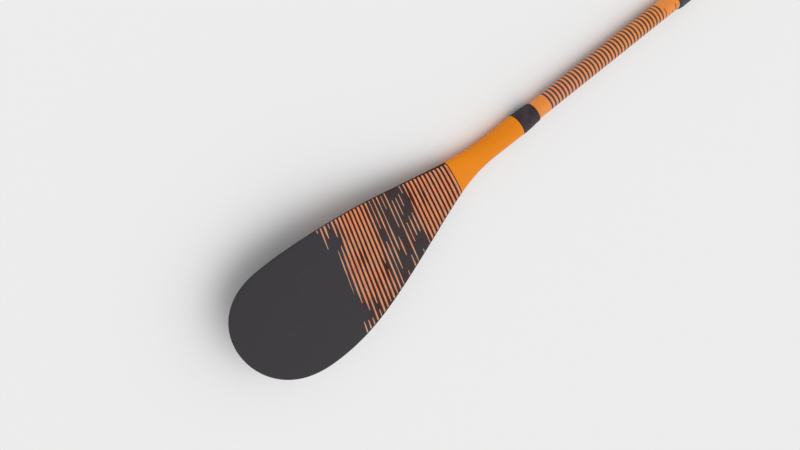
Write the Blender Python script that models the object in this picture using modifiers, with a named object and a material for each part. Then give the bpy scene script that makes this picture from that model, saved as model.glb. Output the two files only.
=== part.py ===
"""Three-section adjustable stand-up paddle, lying flat with the blade's striped face up.

All sizes are in millimetres and become metres where a shape is made. The shaft's axis is
local X: x = 0 is the mouth of the blade's neck, the blade runs to -X and the grip to +X.
The empty paddle_axis carries every piece and sets the lowest point on z = 0.
"""

import math

import bmesh
import bpy
from mathutils import Matrix, Vector

MM = 0.001
GAP = 0.3
AROUND = 32

# Shaft tubes
SHAFT_R = 14.4
TUBE_WALL = 1.5
BORE_R = SHAFT_R - TUBE_WALL
INNER_R = BORE_R - GAP
INNER_BORE_R = INNER_R - TUBE_WALL
PLUG_R = INNER_BORE_R - GAP
KEYWAY_HALF = 1.5
KEYWAY_FLOOR = 1.0 - INNER_R

# Places along the shaft, from the mouth of the neck
SHAFT_START = -58.0
JOINT_X = 374.0
FERRULE_START = 284.0
FERRULE_END = 474.0
CLAMP_START = 936.0
UPPER_END = 962.0
CLAMP_END = 992.0
GUIDE_START = 483.0
TUBE_START = 490.0
KEYWAY_END = 1060.0
GRIP_SCREW_X = 1080.0
TUBE_END = 1098.0
GRIP_END = 1175.5
PLUG_LENGTH = 22.0

# Blade and neck, measured from the mouth of the neck towards the tip
BLADE_END = 518.8
WIDEST = 412.0
HALF_WIDTH = 109.5
NECK_MOUTH_R = 17.3
NECK_R = 16.7
NECK_END = 50.0
FLANK_START = 140.0
FLANK_HALF = 36.2
FLANK_SLOPE = 0.365
TIP_POWER = 2.6
NECK_WALL = 1.8
BLADE_WALL = 1.1
FLANGE = 5.0
WALL_CHANGE = (60.0, 160.0)
BLADE_HALF_THICK = 4.2
TIP_HALF_THICK = 2.4
BACK_TRANSITION = (45.0, 185.0)
POWER_TRANSITION = (58.0, 215.0)
CANT = math.radians(7.8)
CANT_RUN = 90.0
TIP_CURL = math.radians(10.8)
CURL_START = 290.0
CURL_RUN = 160.0
SPINE_HEIGHT = 5.0
SPINE_HALF = 19.0
SPINE_START = 70.0
SPINE_FULL = 140.0
SPINE_FADE = 200.0

# Collar at the neck's mouth; the paddle lies on it, on the clamp's flat and on the grip
FLOOR = 17.6
COLLAR_LENGTH = 34.0
COLLAR_FAR_R = 15.1

# Depth below and height above the axis that every cutter clears
CUT_REACH = 40.0

# Snap clip
BUTTON_X = 352.0
BUTTON_R = 3.9
BUTTON_TOP = 16.3
BUTTON_HOLE_R = 4.65
CLIP_PIVOT = (302.0, 5.0)
CLIP_BEND = 1.7
CLIP_FOOT = -8.6
LEAF_THICK = 0.8
LEAF_WIDTH = 8.0
LEAF_HEIGHT = 8.2
SLEEVE_START = 326.0
SLEEVE_R = 16.6
THUMB_WINDOW_R = 7.5

# Clamp and cam lever
CLAMP_R = 18.5
CLAMP_BORE_R = 16.0
LUG_HALF = 8.2
LUG_TOP = 28.5
SLIT_HALF = 1.5
SLIT_FOOT = 8.0
KEY_HALF = 1.2
KEY_FOOT = -13.2
BUSH_LIP = 1.9
BUSH_LIP_R = 17.0
SCREW_X = 976.0
SCREW_Z = 23.5
SCREW_R = 2.0
SCREW_HEAD_R = 3.8
SOCKET_R = 1.9
WASHER = 0.8
WASHER_R = 5.2
CAM_REACH = 5.4
PIVOT_Y = LUG_HALF + GAP + WASHER + GAP + CAM_REACH
PIN_R = 2.6
LEVER_START = 967.0
LEVER_END = 985.0
LEVER_IN_R = 19.2
LEVER_OUT_R = 22.8

# Palm grip
GRIP_NECK_R = 14.3
GRIP_SCREW_TIP = 3.1
GRIP_HALF = 52.0
GRIP_HALF_THICK = FLOOR
GRIP_NECK_END = 1108.0
GRIP_WIDEST = 1150.0
COVER_START = 1142.0
COVER = 2.2

OVERALL_MID = (GRIP_END - BLADE_END) / 2


def clear_scene():
    for obj in list(bpy.data.objects):
        bpy.data.objects.remove(obj, do_unlink=True)


def new_collection(name):
    collection = bpy.data.collections.new(name)
    bpy.context.scene.collection.children.link(collection)
    return collection


clear_scene()
PARTS = new_collection("paddle")
CUTTERS = new_collection("cutters")
CUTTERS.hide_render = True


def finish(name, colour, roughness, metallic=0.0):
    material = bpy.data.materials.new(name)
    material.use_nodes = True
    shader = material.node_tree.nodes["Principled BSDF"]
    shader.inputs["Base Color"].default_value = (*colour, 1.0)
    shader.inputs["Roughness"].default_value = roughness
    shader.inputs["Metallic"].default_value = metallic
    return material


ORANGE = finish("orange_lacquer", (0.82, 0.25, 0.006), 0.35)
CHARCOAL = finish("charcoal_laminate", (0.04, 0.036, 0.042), 0.48)
BLACK_NYLON = finish("black_nylon", (0.03, 0.03, 0.032), 0.5)
ACETAL = finish("grey_acetal", (0.47, 0.47, 0.455), 0.42)
COLLAR_RUBBER = finish("collar_rubber", (0.06, 0.05, 0.06), 0.6)
SOFT_GREY = finish("soft_grip", (0.045, 0.045, 0.05), 0.78)
WHITE_FOAM = finish("closed_cell_foam", (0.75, 0.74, 0.7), 0.9)
STEEL = finish("stainless_steel", (0.6, 0.6, 0.6), 0.3, 1.0)
DARK_TUBE = finish("black_laminate_tube", (0.03, 0.03, 0.03), 0.4)


def empty(name, place, parent=None):
    obj = bpy.data.objects.new(name, None)
    obj.location = Vector(place) * MM
    obj.parent = parent
    PARTS.objects.link(obj)
    return obj


AXIS = empty("paddle_axis", (-OVERALL_MID, 0, FLOOR))
EXTENSION_SLIDE = empty("extension_slide", (CLAMP_END, 0, 0), AXIS)
LEVER_PIVOT = empty("lever_pivot", (SCREW_X, PIVOT_Y, SCREW_Z), AXIS)
CLIP_HINGE = empty("clip_hinge", (CLIP_PIVOT[0], 0, CLIP_PIVOT[1]), AXIS)


def place_part(obj, material, parent=AXIS):
    """Hangs a part modelled in the shaft's coordinates on its carrier."""
    if parent is not AXIS:
        obj.location = obj.location - parent.location
    obj.parent = parent
    obj.data.materials.append(material)
    PARTS.objects.link(obj)
    return obj


def make_cutter(obj):
    obj.hide_render = True
    obj.display_type = "WIRE"
    obj.parent = AXIS
    CUTTERS.objects.link(obj)
    return obj


def combine(obj, other, operation):
    modifier = obj.modifiers.new(f"{operation.lower()} {other.name}", "BOOLEAN")
    modifier.operation = operation
    modifier.solver = "EXACT"
    modifier.object = other
    return obj


def cut(obj, cutter):
    return combine(obj, cutter, "DIFFERENCE")


def join(obj, other):
    return combine(obj, other, "UNION")


def turned(name, outer, inner=(), around=AROUND):
    """Profile of (x, radius) points turned about the shaft's axis: the outer side from the
    grip's end to the blade's end, then the bore back. Without a bore it closes on the axis."""
    points = list(outer) + list(inner)
    if not inner:
        points = [(outer[0][0], 0.0)] + points + [(outer[-1][0], 0.0)]
    mesh = bpy.data.meshes.new(name)
    vertices = [(radius * MM, 0.0, x * MM) for x, radius in points]
    edges = [(i, i + 1) for i in range(len(points) - 1)]
    if inner:
        edges.append((len(points) - 1, 0))
    mesh.from_pydata(vertices, edges, [])
    obj = bpy.data.objects.new(name, mesh)
    obj.rotation_euler = (0, math.radians(90), 0)
    screw = obj.modifiers.new("turned", "SCREW")
    screw.steps = around
    screw.render_steps = around
    screw.use_merge_vertices = True
    screw.merge_threshold = 0.00001
    screw.use_smooth_shade = True
    return obj


def tube(name, start, end, radius, bore, around=AROUND):
    return turned(name, [(end, radius), (start, radius)], [(start, bore), (end, bore)], around)


def rod(name, start, end, radius, around=28):
    return turned(name, [(end, radius), (start, radius)], (), around)


def mesh_object(name, bm, smooth_angle=None):
    mesh = bpy.data.meshes.new(name)
    bmesh.ops.recalc_face_normals(bm, faces=bm.faces)
    bm.to_mesh(mesh)
    bm.free()
    if smooth_angle is not None:
        mesh.shade_smooth()
        mesh.set_sharp_from_angle(angle=math.radians(smooth_angle))
    return bpy.data.objects.new(name, mesh)


def box(name, low, high, rounded=0.0):
    bm = bmesh.new()
    size = [b - a for a, b in zip(low, high)]
    centre = [(a + b) / 2 for a, b in zip(low, high)]
    bmesh.ops.create_cube(bm, size=1.0)
    bmesh.ops.scale(bm, vec=Vector(size) * MM, verts=bm.verts)
    obj = mesh_object(name, bm)
    obj.location = Vector(centre) * MM
    if rounded:
        bevel = obj.modifiers.new("rounded edges", "BEVEL")
        bevel.width = rounded * MM
        bevel.segments = 3
    return obj


def pillar(name, place, radius, length, direction, sides=24):
    """A cylinder that starts at a place and runs along a direction."""
    bm = bmesh.new()
    bmesh.ops.create_cone(
        bm, cap_ends=True, segments=sides, radius1=radius * MM, radius2=radius * MM, depth=length * MM
    )
    bmesh.ops.translate(bm, vec=(0, 0, length * MM / 2), verts=bm.verts)
    turn = Vector(direction).to_track_quat("Z", "X").to_matrix()
    bmesh.ops.rotate(bm, cent=(0, 0, 0), matrix=turn, verts=bm.verts)
    obj = mesh_object(name, bm, 40)
    obj.location = Vector(place) * MM
    return obj


def plate(name, outline, middle, thickness, across):
    """A flat closed outline given thickness. across is X for an outline in (y, z), or Y for
    one in (x, z); middle is the plate's middle along that axis."""
    curve = bpy.data.curves.new(name, "CURVE")
    curve.dimensions = "2D"
    curve.fill_mode = "BOTH"
    curve.extrude = thickness * MM / 2
    spline = curve.splines.new("POLY")
    spline.points.add(len(outline) - 1)
    for point, (a, b) in zip(spline.points, outline):
        point.co = (a * MM, b * MM, 0.0, 1.0)
    spline.use_cyclic_u = True
    drawn = bpy.data.objects.new(name + "_outline", curve)
    bpy.context.scene.collection.objects.link(drawn)
    graph = bpy.context.evaluated_depsgraph_get()
    mesh = bpy.data.meshes.new_from_object(drawn.evaluated_get(graph))
    bpy.data.objects.remove(drawn, do_unlink=True)
    bm = bmesh.new()
    bm.from_mesh(mesh)
    bmesh.ops.remove_doubles(bm, verts=bm.verts, dist=0.00001)
    if across == "X":
        turn = Matrix(((0, 0, 1), (1, 0, 0), (0, 1, 0)))
        shift = Vector((middle * MM, 0, 0))
    else:
        turn = Matrix(((1, 0, 0), (0, 0, -1), (0, 1, 0)))
        shift = Vector((0, middle * MM, 0))
    bmesh.ops.rotate(bm, cent=(0, 0, 0), matrix=turn, verts=bm.verts)
    bmesh.ops.translate(bm, vec=shift, verts=bm.verts)
    return mesh_object(name, bm, 35)


def loft(name, rows, closed_rows, smooth_angle=50):
    """Skin over rows of points. closed_rows joins each row into a ring and caps both ends."""
    bm = bmesh.new()
    grid = [[bm.verts.new(Vector(point) * MM) for point in row] for row in rows]
    width = len(rows[0])
    steps = width if closed_rows else width - 1
    for near, far in zip(grid, grid[1:]):
        for j in range(steps):
            k = (j + 1) % width
            bm.faces.new((near[j], near[k], far[k], far[j]))
    if closed_rows:
        bm.faces.new(grid[0])
        bm.faces.new(grid[-1])
    bmesh.ops.remove_doubles(bm, verts=bm.verts, dist=0.00001)
    bmesh.ops.dissolve_degenerate(bm, edges=bm.edges, dist=0.00001)
    return mesh_object(name, bm, smooth_angle)


# Shape of the blade


def ease(t):
    t = min(max(t, 0.0), 1.0)
    return t * t * (3 - 2 * t)


def hermite(t, length, start, start_slope, end, end_slope):
    a = 2 * t**3 - 3 * t**2 + 1
    b = t**3 - 2 * t**2 + t
    c = -2 * t**3 + 3 * t**2
    d = t**3 - t**2
    return a * start + b * length * start_slope + c * end + d * length * end_slope


def half_width(s):
    """Half of the outline's width, s from the mouth of the neck towards the tip."""
    if s <= NECK_END:
        return NECK_MOUTH_R + (NECK_R - NECK_MOUTH_R) * s / NECK_END
    if s <= FLANK_START:
        length = FLANK_START - NECK_END
        return hermite((s - NECK_END) / length, length, NECK_R, 0, FLANK_HALF, FLANK_SLOPE)
    if s <= WIDEST:
        length = WIDEST - FLANK_START
        share = (s - FLANK_START) / length
        return hermite(share, length, FLANK_HALF, FLANK_SLOPE, HALF_WIDTH, 0)
    share = min((s - WIDEST) / (BLADE_END - WIDEST), 1.0)
    return HALF_WIDTH * math.sqrt(1 - share**TIP_POWER)


def slope(s):
    return CANT * ease((s - NECK_END) / CANT_RUN) - TIP_CURL * ease((s - CURL_START) / CURL_RUN)


def build_height():
    """Height of the blade's middle surface over the shaft's axis, every millimetre."""
    heights = [0.0]
    for step in range(int(BLADE_END) + 2):
        heights.append(heights[-1] + math.tan(slope(step + 0.5)))
    return heights


HEIGHTS = build_height()


def height(s):
    low = int(s)
    return HEIGHTS[low] + (HEIGHTS[low + 1] - HEIGHTS[low]) * (s - low)


def half_thickness(s, start, end):
    """From the round neck to the thin blade, which thins further towards the tip."""
    thin = BLADE_HALF_THICK
    if s > end:
        thin += (TIP_HALF_THICK - BLADE_HALF_THICK) * (s - end) / (BLADE_END - end)
    share = ease((s - start) / (end - start))
    return half_width(min(s, NECK_END)) * (1 - share) + thin * share


def edge_fall(s, v):
    """1 in the middle of the section and 0 on the outline, with a full, rounded edge."""
    power = 2.0 + ease((s - 60) / 130)
    if s <= WIDEST:
        return max(1 - abs(v) ** power, 0.0) ** (1 / power)
    share = min((s - WIDEST) / (BLADE_END - WIDEST), 1.0)
    around = share**TIP_POWER + v * v * (1 - share**TIP_POWER)
    return max(1 - around ** (power / 2), 0.0) ** (1 / power)


def spine_reach(s):
    return min(SPINE_HALF, 0.6 * half_width(s))


def spine(s, y):
    """Rounded ridge down the middle of the power face, which carries on from the neck."""
    reach = spine_reach(s)
    if abs(y) >= reach:
        return 0.0
    grown = ease((s - SPINE_START) / (SPINE_FULL - SPINE_START))
    rise = grown * (1 - ease((s - SPINE_FULL) / SPINE_FADE))
    return SPINE_HEIGHT * rise * math.cos(math.pi * y / (2 * reach)) ** 2


def columns(s, half):
    """Places across a section: even over the spine, then closer and closer to the edge."""
    reach = spine_reach(s)
    right = [reach * i / 3 for i in range(1, 4)]
    right += [reach + (half - reach) * math.sin(math.pi / 2 * i / 4) for i in range(1, 5)]
    return [-y for y in reversed(right)] + [0.0] + right


def section_z(s, v, y, inset, side):
    """Height of the face on one side (+1 back, -1 power), inset below it by a wall."""
    start, end = BACK_TRANSITION if side > 0 else POWER_TRANSITION
    drop = (half_thickness(s, start, end) - inset) * edge_fall(s, v)
    if side < 0:
        drop += spine(s, y)
    return height(s) + side * (GAP / 2 + drop)


def past_neck(s):
    """0 on the neck, where the wall is thick, and 1 on the blade."""
    start, end = WALL_CHANGE
    return ease((s - start) / (end - start))


def wall(s):
    return NECK_WALL + (BLADE_WALL - NECK_WALL) * past_neck(s)


def flange(s):
    return NECK_WALL + (FLANGE - NECK_WALL) * past_neck(s)


def stations(neck_steps=10, flank_steps=9, tip_steps=8):
    rows = [FLANK_START * i / neck_steps for i in range(neck_steps)]
    reach = WIDEST - FLANK_START
    rows += [FLANK_START + reach * i / flank_steps for i in range(flank_steps)]
    rows += [
        WIDEST + (BLADE_END - WIDEST) * math.sin(math.pi / 2 * i / tip_steps)
        for i in range(tip_steps + 1)
    ]
    return rows


def face_rows(side, rows, edge, inset):
    """Points of one face. edge draws its outline in, inset lowers it by a wall."""
    grid = []
    for s in rows:
        inward = edge(s)
        tip = BLADE_END - inward
        at = s if s <= WIDEST else WIDEST + (s - WIDEST) * (tip - WIDEST) / (BLADE_END - WIDEST)
        full = half_width(s)
        half = full - inward if s <= WIDEST else full * (1 - inward / HALF_WIDTH)
        row = []
        for y in columns(s, half):
            v = y / half if half > 0 else 0.0
            row.append((-at, y, section_z(s, v, y, inset(s), side)))
        grid.append(row)
    return grid


def blade_skin(name, side):
    """One laminated half: outer face, inner face, and the flat flange between them."""
    rows = stations()
    outer = face_rows(side, rows, lambda s: 0.0, lambda s: 0.0)
    inner = face_rows(side, rows, flange, wall)
    joined = [out_row + in_row[::-1] for out_row, in_row in zip(outer, inner)]
    return loft(name, joined, True)


def blade_core():
    shaft_clearance = 2.0
    rim_clearance = 1.2
    rows = [s for s in stations() if s > shaft_clearance - SHAFT_START]

    def edge(s):
        return flange(s) + rim_clearance

    def inset(s):
        return wall(s) + 2 * GAP

    back = face_rows(1, rows, edge, inset)
    power = face_rows(-1, rows, edge, inset)
    joined = [top[:-1] + bottom[:0:-1] for top, bottom in zip(back, power)]
    return loft("blade_core", joined, True)


# Blade section


def make_blade():
    place_part(blade_skin("blade_back_skin", 1), CHARCOAL)
    place_part(blade_skin("blade_power_skin", -1), CHARCOAL)
    place_part(blade_core(), WHITE_FOAM)


def make_collar():
    start = GAP
    end = start + COLLAR_LENGTH
    outer = [
        (end, COLLAR_FAR_R - 0.2),
        (end - 0.5, COLLAR_FAR_R),
        (end - 8, 16.2),
        (end - 20, 17.2),
        (start + 6, FLOOR),
        (start + 0.6, FLOOR),
        (start, FLOOR - 0.6),
    ]
    bore = SHAFT_R + GAP
    place_part(turned("neck_collar", outer, [(start, bore), (end, bore)]), COLLAR_RUBBER)


def make_button_hole(name, radius):
    return make_cutter(pillar(name, (BUTTON_X, 0, BUTTON_HOLE_R), radius, CUT_REACH, (0, 0, 1)))


def make_lower_shaft():
    shaft = tube("lower_shaft", SHAFT_START, JOINT_X, SHAFT_R, BORE_R)
    cut(shaft, make_button_hole("button_hole", BUTTON_HOLE_R))
    place_part(shaft, ORANGE)
    plug = rod("lower_shaft_plug", SHAFT_START + 1, SHAFT_START + 1 + PLUG_LENGTH, INNER_R)
    place_part(plug, WHITE_FOAM)
    outer = [
        (JOINT_X, SLEEVE_R - 0.5),
        (JOINT_X - 0.5, SLEEVE_R),
        (SLEEVE_START + 3, SLEEVE_R),
        (SLEEVE_START, SHAFT_R + GAP + 0.7),
    ]
    bore = SHAFT_R + GAP
    sleeve = turned("joint_sleeve", outer, [(SLEEVE_START, bore), (JOINT_X, bore)])
    cut(sleeve, make_button_hole("thumb_window", THUMB_WINDOW_R))
    place_part(sleeve, BLACK_NYLON)


# Snap joint


def make_ferrule():
    ferrule = tube("joint_ferrule", FERRULE_START, FERRULE_END, INNER_R, INNER_BORE_R)
    cut(ferrule, bpy.data.objects["button_hole"])
    place_part(ferrule, DARK_TUBE)
    nose = FERRULE_START - 3.8
    outer = [
        (FERRULE_START + 12, PLUG_R - 0.6),
        (FERRULE_START + 11, PLUG_R),
        (FERRULE_START - GAP, PLUG_R),
        (FERRULE_START - GAP, INNER_R - 0.1),
        (FERRULE_START - 2, INNER_R - 0.4),
        (nose, INNER_R - 2.4),
    ]
    place_part(turned("ferrule_cap", outer), BLACK_NYLON)
    plug = rod("ferrule_plug", FERRULE_END - 1 - PLUG_LENGTH, FERRULE_END - 1, PLUG_R)
    place_part(plug, WHITE_FOAM)


def strip(points, thickness):
    """Outline of a bent strip: one side of its middle line and back along the other."""
    left = []
    right = []
    for i, (x, z) in enumerate(points):
        before = points[max(i - 1, 0)]
        after = points[min(i + 1, len(points) - 1)]
        dx = after[0] - before[0]
        dz = after[1] - before[1]
        size = math.hypot(dx, dz)
        nx = -dz / size * thickness / 2
        nz = dx / size * thickness / 2
        left.append((x + nx, z + nz))
        right.append((x - nx, z - nz))
    return left + right[::-1]


def make_snap_clip():
    pivot_x, pivot_z = CLIP_PIVOT
    fold = [
        (pivot_x - CLIP_BEND * math.sin(turn), pivot_z - CLIP_BEND + CLIP_BEND * math.cos(turn))
        for turn in [math.pi * i / 8 for i in range(9)]
    ]
    foot = [
        (pivot_x + 4, pivot_z - 2 * CLIP_BEND - 0.4),
        (pivot_x + 46, CLIP_FOOT),
        (pivot_x + 50, CLIP_FOOT - 0.7),
    ]
    base = plate("clip_base_leaf", strip(fold + foot, LEAF_THICK), 0, LEAF_WIDTH, "Y")
    place_part(base, STEEL)
    spring_line = [(pivot_x + GAP, pivot_z), (BUTTON_X - 5, LEAF_HEIGHT), (BUTTON_X + 4.5, LEAF_HEIGHT)]
    leaf = plate("clip_button_leaf", strip(spring_line, LEAF_THICK), 0, LEAF_WIDTH, "Y")
    place_part(leaf, STEEL, CLIP_HINGE)
    low = LEAF_HEIGHT + LEAF_THICK / 2 + GAP
    button = pillar("snap_button", (BUTTON_X, 0, low), BUTTON_R, BUTTON_TOP - low, (0, 0, 1))
    bevel = button.modifiers.new("domed top", "BEVEL")
    bevel.width = 1.6 * MM
    bevel.segments = 4
    bevel.limit_method = "WEIGHT"
    weights = button.data.attributes.new("bevel_weight_edge", "FLOAT", "EDGE")
    top = (BUTTON_TOP - low - 0.01) * MM
    for edge in button.data.edges:
        ends = [button.data.vertices[i].co.z for i in edge.vertices]
        weights.data[edge.index].value = 1.0 if min(ends) > top else 0.0
    place_part(button, STEEL, CLIP_HINGE)


# Upper shaft and its clamp


def make_upper_shaft():
    place_part(tube("upper_shaft", JOINT_X + GAP, UPPER_END, SHAFT_R, BORE_R), ORANGE)


def make_clamp():
    bore = SHAFT_R + GAP
    outer = [
        (CLAMP_END, CLAMP_R - 0.8),
        (CLAMP_END - 0.8, CLAMP_R),
        (CLAMP_START + 3, CLAMP_R),
        (CLAMP_START, bore + 1.2),
    ]
    inner = [
        (CLAMP_START, bore),
        (UPPER_END + GAP, bore),
        (UPPER_END + GAP, CLAMP_BORE_R),
        (CLAMP_END, CLAMP_BORE_R),
    ]
    body = turned("clamp_body", outer, inner, 40)
    lug_low = (UPPER_END, -LUG_HALF, CLAMP_BORE_R + 0.25)
    lug_high = (CLAMP_END - 2, LUG_HALF, LUG_TOP)
    lugs = box("lug_block", lug_low, lug_high, 1.5)
    join(body, make_cutter(lugs))
    slit_low = (UPPER_END - 1.6, -SLIT_HALF, SLIT_FOOT)
    slit = box("clamp_slit", slit_low, (CLAMP_END + 3, SLIT_HALF, CUT_REACH))
    cut(body, make_cutter(slit))
    hole_start = (SCREW_X, -CUT_REACH, SCREW_Z)
    hole = pillar("screw_hole", hole_start, SCREW_R + GAP, 2 * CUT_REACH, (0, 1, 0))
    cut(body, make_cutter(hole))
    under_low = (CLAMP_START - 5, -CUT_REACH, -CUT_REACH)
    under = box("clamp_flat", under_low, (CLAMP_END + 5, CUT_REACH, -FLOOR))
    cut(body, make_cutter(under))
    place_part(body, BLACK_NYLON)


def make_bush():
    start = UPPER_END + 2 * GAP
    lip = CLAMP_END + GAP
    end = lip + BUSH_LIP
    outer = [
        (end, BUSH_LIP_R - 0.4),
        (end - 0.4, BUSH_LIP_R),
        (lip, BUSH_LIP_R),
        (lip, CLAMP_BORE_R - GAP),
        (start, CLAMP_BORE_R - GAP),
    ]
    bush = turned("clamp_bush", outer, [(start, BORE_R), (end, BORE_R)])
    key_low = (start + 0.5, -KEY_HALF, KEY_FOOT)
    key = box("bush_key", key_low, (end - 0.5, KEY_HALF, KEYWAY_FLOOR - GAP - 0.15))
    join(bush, make_cutter(key))
    cut(bush, bpy.data.objects["clamp_slit"])
    place_part(bush, ACETAL)


def polar(radius, degrees, centre=(0.0, 0.0)):
    turn = math.radians(degrees)
    return (centre[0] + radius * math.cos(turn), centre[1] + radius * math.sin(turn))


def lever_outline():
    """Section of the lever in (y, z): cam at the head, then an arm round the clamp's ring."""
    pivot = (PIVOT_Y, SCREW_Z)
    points = []
    for i in range(9):
        reach = CAM_REACH - 0.9 * i / 8
        points.append(polar(reach, 180 - 15 * i, pivot))
    points += [polar(5.2, 35, pivot), polar(6.0, 5, pivot), polar(6.6, -25, pivot)]
    steps = 12
    for i in range(steps + 1):
        degrees = 36 - 76 * i / steps
        flare = 1.9 * ease((-degrees - 14) / 26)
        points.append(polar(LEVER_OUT_R + flare, degrees))
    points.append(polar(LEVER_IN_R + 3.8, -42))
    for i in range(steps + 1):
        degrees = -40 + 98 * i / steps
        flare = 2.2 * ease((-degrees - 14) / 26)
        points.append(polar(LEVER_IN_R + flare, degrees))
    points.append((PIVOT_Y - CAM_REACH, 17.0))
    return points


def make_lever():
    width = LEVER_END - LEVER_START
    middle = (LEVER_START + LEVER_END) / 2
    lever = plate("cam_lever", lever_outline(), middle, width, "X")
    start = (LEVER_START - 2, PIVOT_Y, SCREW_Z)
    cut(lever, make_cutter(pillar("pin_hole", start, PIN_R + GAP, width + 4, (1, 0, 0))))
    low = (SCREW_X - SCREW_R - 0.6, 0, SCREW_Z - PIN_R)
    slot = box("lever_slot", low, (SCREW_X + SCREW_R + 0.6, CUT_REACH, CUT_REACH))
    cut(lever, make_cutter(slot))
    place_part(lever, BLACK_NYLON, LEVER_PIVOT)
    start = (LEVER_START + 0.6, PIVOT_Y, SCREW_Z)
    pin = pillar("lever_pin", start, PIN_R, width - 1.2, (1, 0, 0))
    cut(pin, bpy.data.objects["screw_hole"])
    place_part(pin, STEEL)


def washer(name, start):
    disc = pillar(name, (SCREW_X, start, SCREW_Z), WASHER_R, WASHER, (0, 1, 0))
    cut(disc, bpy.data.objects["screw_hole"])
    place_part(disc, STEEL)


def make_tension_screw():
    washer("cam_washer", LUG_HALF + GAP)
    washer("screw_washer", -LUG_HALF - GAP - WASHER)
    under_head = -LUG_HALF - 2 * GAP - WASHER
    tip = PIVOT_Y + 1.4
    top = under_head - SCREW_HEAD_R
    profile = [
        (tip, SCREW_R - 0.4),
        (tip - 0.4, SCREW_R),
        (under_head, SCREW_R),
        (under_head, SCREW_HEAD_R),
        (top + 0.4, SCREW_HEAD_R),
        (top, SCREW_HEAD_R - 0.4),
    ]
    screw = turned("tension_screw", profile, (), 24)
    screw.rotation_euler = (math.radians(-90), 0, 0)
    screw.location = Vector((SCREW_X, 0, SCREW_Z)) * MM
    place = (SCREW_X, top - 2, SCREW_Z)
    cut(screw, make_cutter(pillar("hex_socket", place, SOCKET_R, 4.0, (0, 1, 0), 6)))
    place_part(screw, STEEL)


# Extension and grip


def make_extension():
    body = tube("extension_tube", TUBE_START, TUBE_END, INNER_R, INNER_BORE_R)
    groove_low = (TUBE_START - 5, -KEYWAY_HALF, -BORE_R - 2)
    groove = box("keyway", groove_low, (KEYWAY_END, KEYWAY_HALF, KEYWAY_FLOOR))
    cut(body, make_cutter(groove))
    hole_start = (GRIP_SCREW_X, 0, GRIP_SCREW_TIP - 2 * GAP)
    hole = pillar("grip_screw_hole", hole_start, SCREW_R + GAP, CUT_REACH, (0, 0, 1))
    cut(body, make_cutter(hole))
    place_part(body, DARK_TUBE, EXTENSION_SLIDE)
    outer = [
        (TUBE_START + 14, PLUG_R - 0.5),
        (TUBE_START + 13, PLUG_R),
        (TUBE_START - GAP, PLUG_R),
        (TUBE_START - GAP, INNER_R),
        (GUIDE_START + 1.5, INNER_R),
        (GUIDE_START, INNER_R - 1.5),
    ]
    place_part(turned("extension_guide", outer), ACETAL, EXTENSION_SLIDE)
    plug = rod("extension_plug", KEYWAY_END - 5 - PLUG_LENGTH, KEYWAY_END - 5, PLUG_R)
    place_part(plug, WHITE_FOAM, EXTENSION_SLIDE)


def grip_size(x):
    """Half width, half thickness and squareness of the grip's section at x."""
    spread = ease((x - GRIP_NECK_END) / (GRIP_WIDEST - 4 - GRIP_NECK_END))
    half = GRIP_NECK_R + (GRIP_HALF - GRIP_NECK_R) * spread
    swell = ease((x - GRIP_NECK_END - 7) / (GRIP_WIDEST - GRIP_NECK_END - 7))
    thick = GRIP_NECK_R + (GRIP_HALF_THICK - GRIP_NECK_R) * swell
    if x > GRIP_WIDEST:
        share = min((x - GRIP_WIDEST) / (GRIP_END - GRIP_WIDEST), 1.0)
        half *= (1 - share**2.4) ** 0.42
        thick *= (1 - share**2.2) ** 0.5
    return half, thick, 2.0 + 0.5 * spread


def grip_ring(x, inset, around=28):
    """Ring of the grip's section. An inset one belongs to the core under the cover."""
    top = GRIP_END - inset
    if inset and x > GRIP_WIDEST:
        scaled = GRIP_WIDEST + (x - GRIP_WIDEST) * (GRIP_END - GRIP_WIDEST) / (top - GRIP_WIDEST)
        half, thick, power = grip_size(min(scaled, GRIP_END))
        half *= 1 - inset / GRIP_HALF
        thick *= 1 - inset / GRIP_HALF_THICK
    else:
        half, thick, power = grip_size(x)
        half -= inset
        thick -= inset
    ring = []
    for i in range(around):
        turn = 2 * math.pi * i / around
        across = math.copysign(abs(math.cos(turn)) ** (2 / power), math.cos(turn))
        up = math.copysign(abs(math.sin(turn)) ** (2 / power), math.sin(turn))
        ring.append((x, half * across, thick * up))
    return ring


def grip_top(inset, steps=7):
    """Places of the rings from the cover's start to the grip's top."""
    top = GRIP_END - inset
    places = [COVER_START + (GRIP_WIDEST - COVER_START) * i / 2 for i in range(2)]
    for i in range(steps + 1):
        turn = min(math.pi / 2 * i / steps, math.radians(88.5))
        places.append(GRIP_WIDEST + (top - GRIP_WIDEST) * math.sin(turn))
    return places


def make_grip():
    start = TUBE_END + GAP
    lower = [start + 0.8] + [GRIP_NECK_END + 5 * i for i in range(7)]
    rings = [[(start, y * 0.96, z * 0.96) for _, y, z in grip_ring(start, 0.0)]]
    rings += [grip_ring(x, 0.0) for x in lower]
    step = COVER_START - GAP
    rings.append(grip_ring(step, 0.0))
    rings.append(grip_ring(step, COVER + GAP))
    rings += [grip_ring(x, COVER + GAP) for x in grip_top(COVER + GAP)]
    core = loft("grip_core", rings, True)
    length = start + 5 - KEYWAY_END
    spigot = pillar("grip_spigot", (KEYWAY_END, 0, 0), PLUG_R, length, (1, 0, 0), 36)
    join(core, make_cutter(spigot))
    cut(core, bpy.data.objects["grip_screw_hole"])
    place_part(core, BLACK_NYLON, EXTENSION_SLIDE)
    outer = [grip_ring(x, 0.0) for x in grip_top(0.0)]
    inner = [grip_ring(x, COVER) for x in grip_top(COVER)]
    cover = loft("grip_cover", inner[::-1] + outer, True)
    place_part(cover, SOFT_GREY, EXTENSION_SLIDE)


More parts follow.
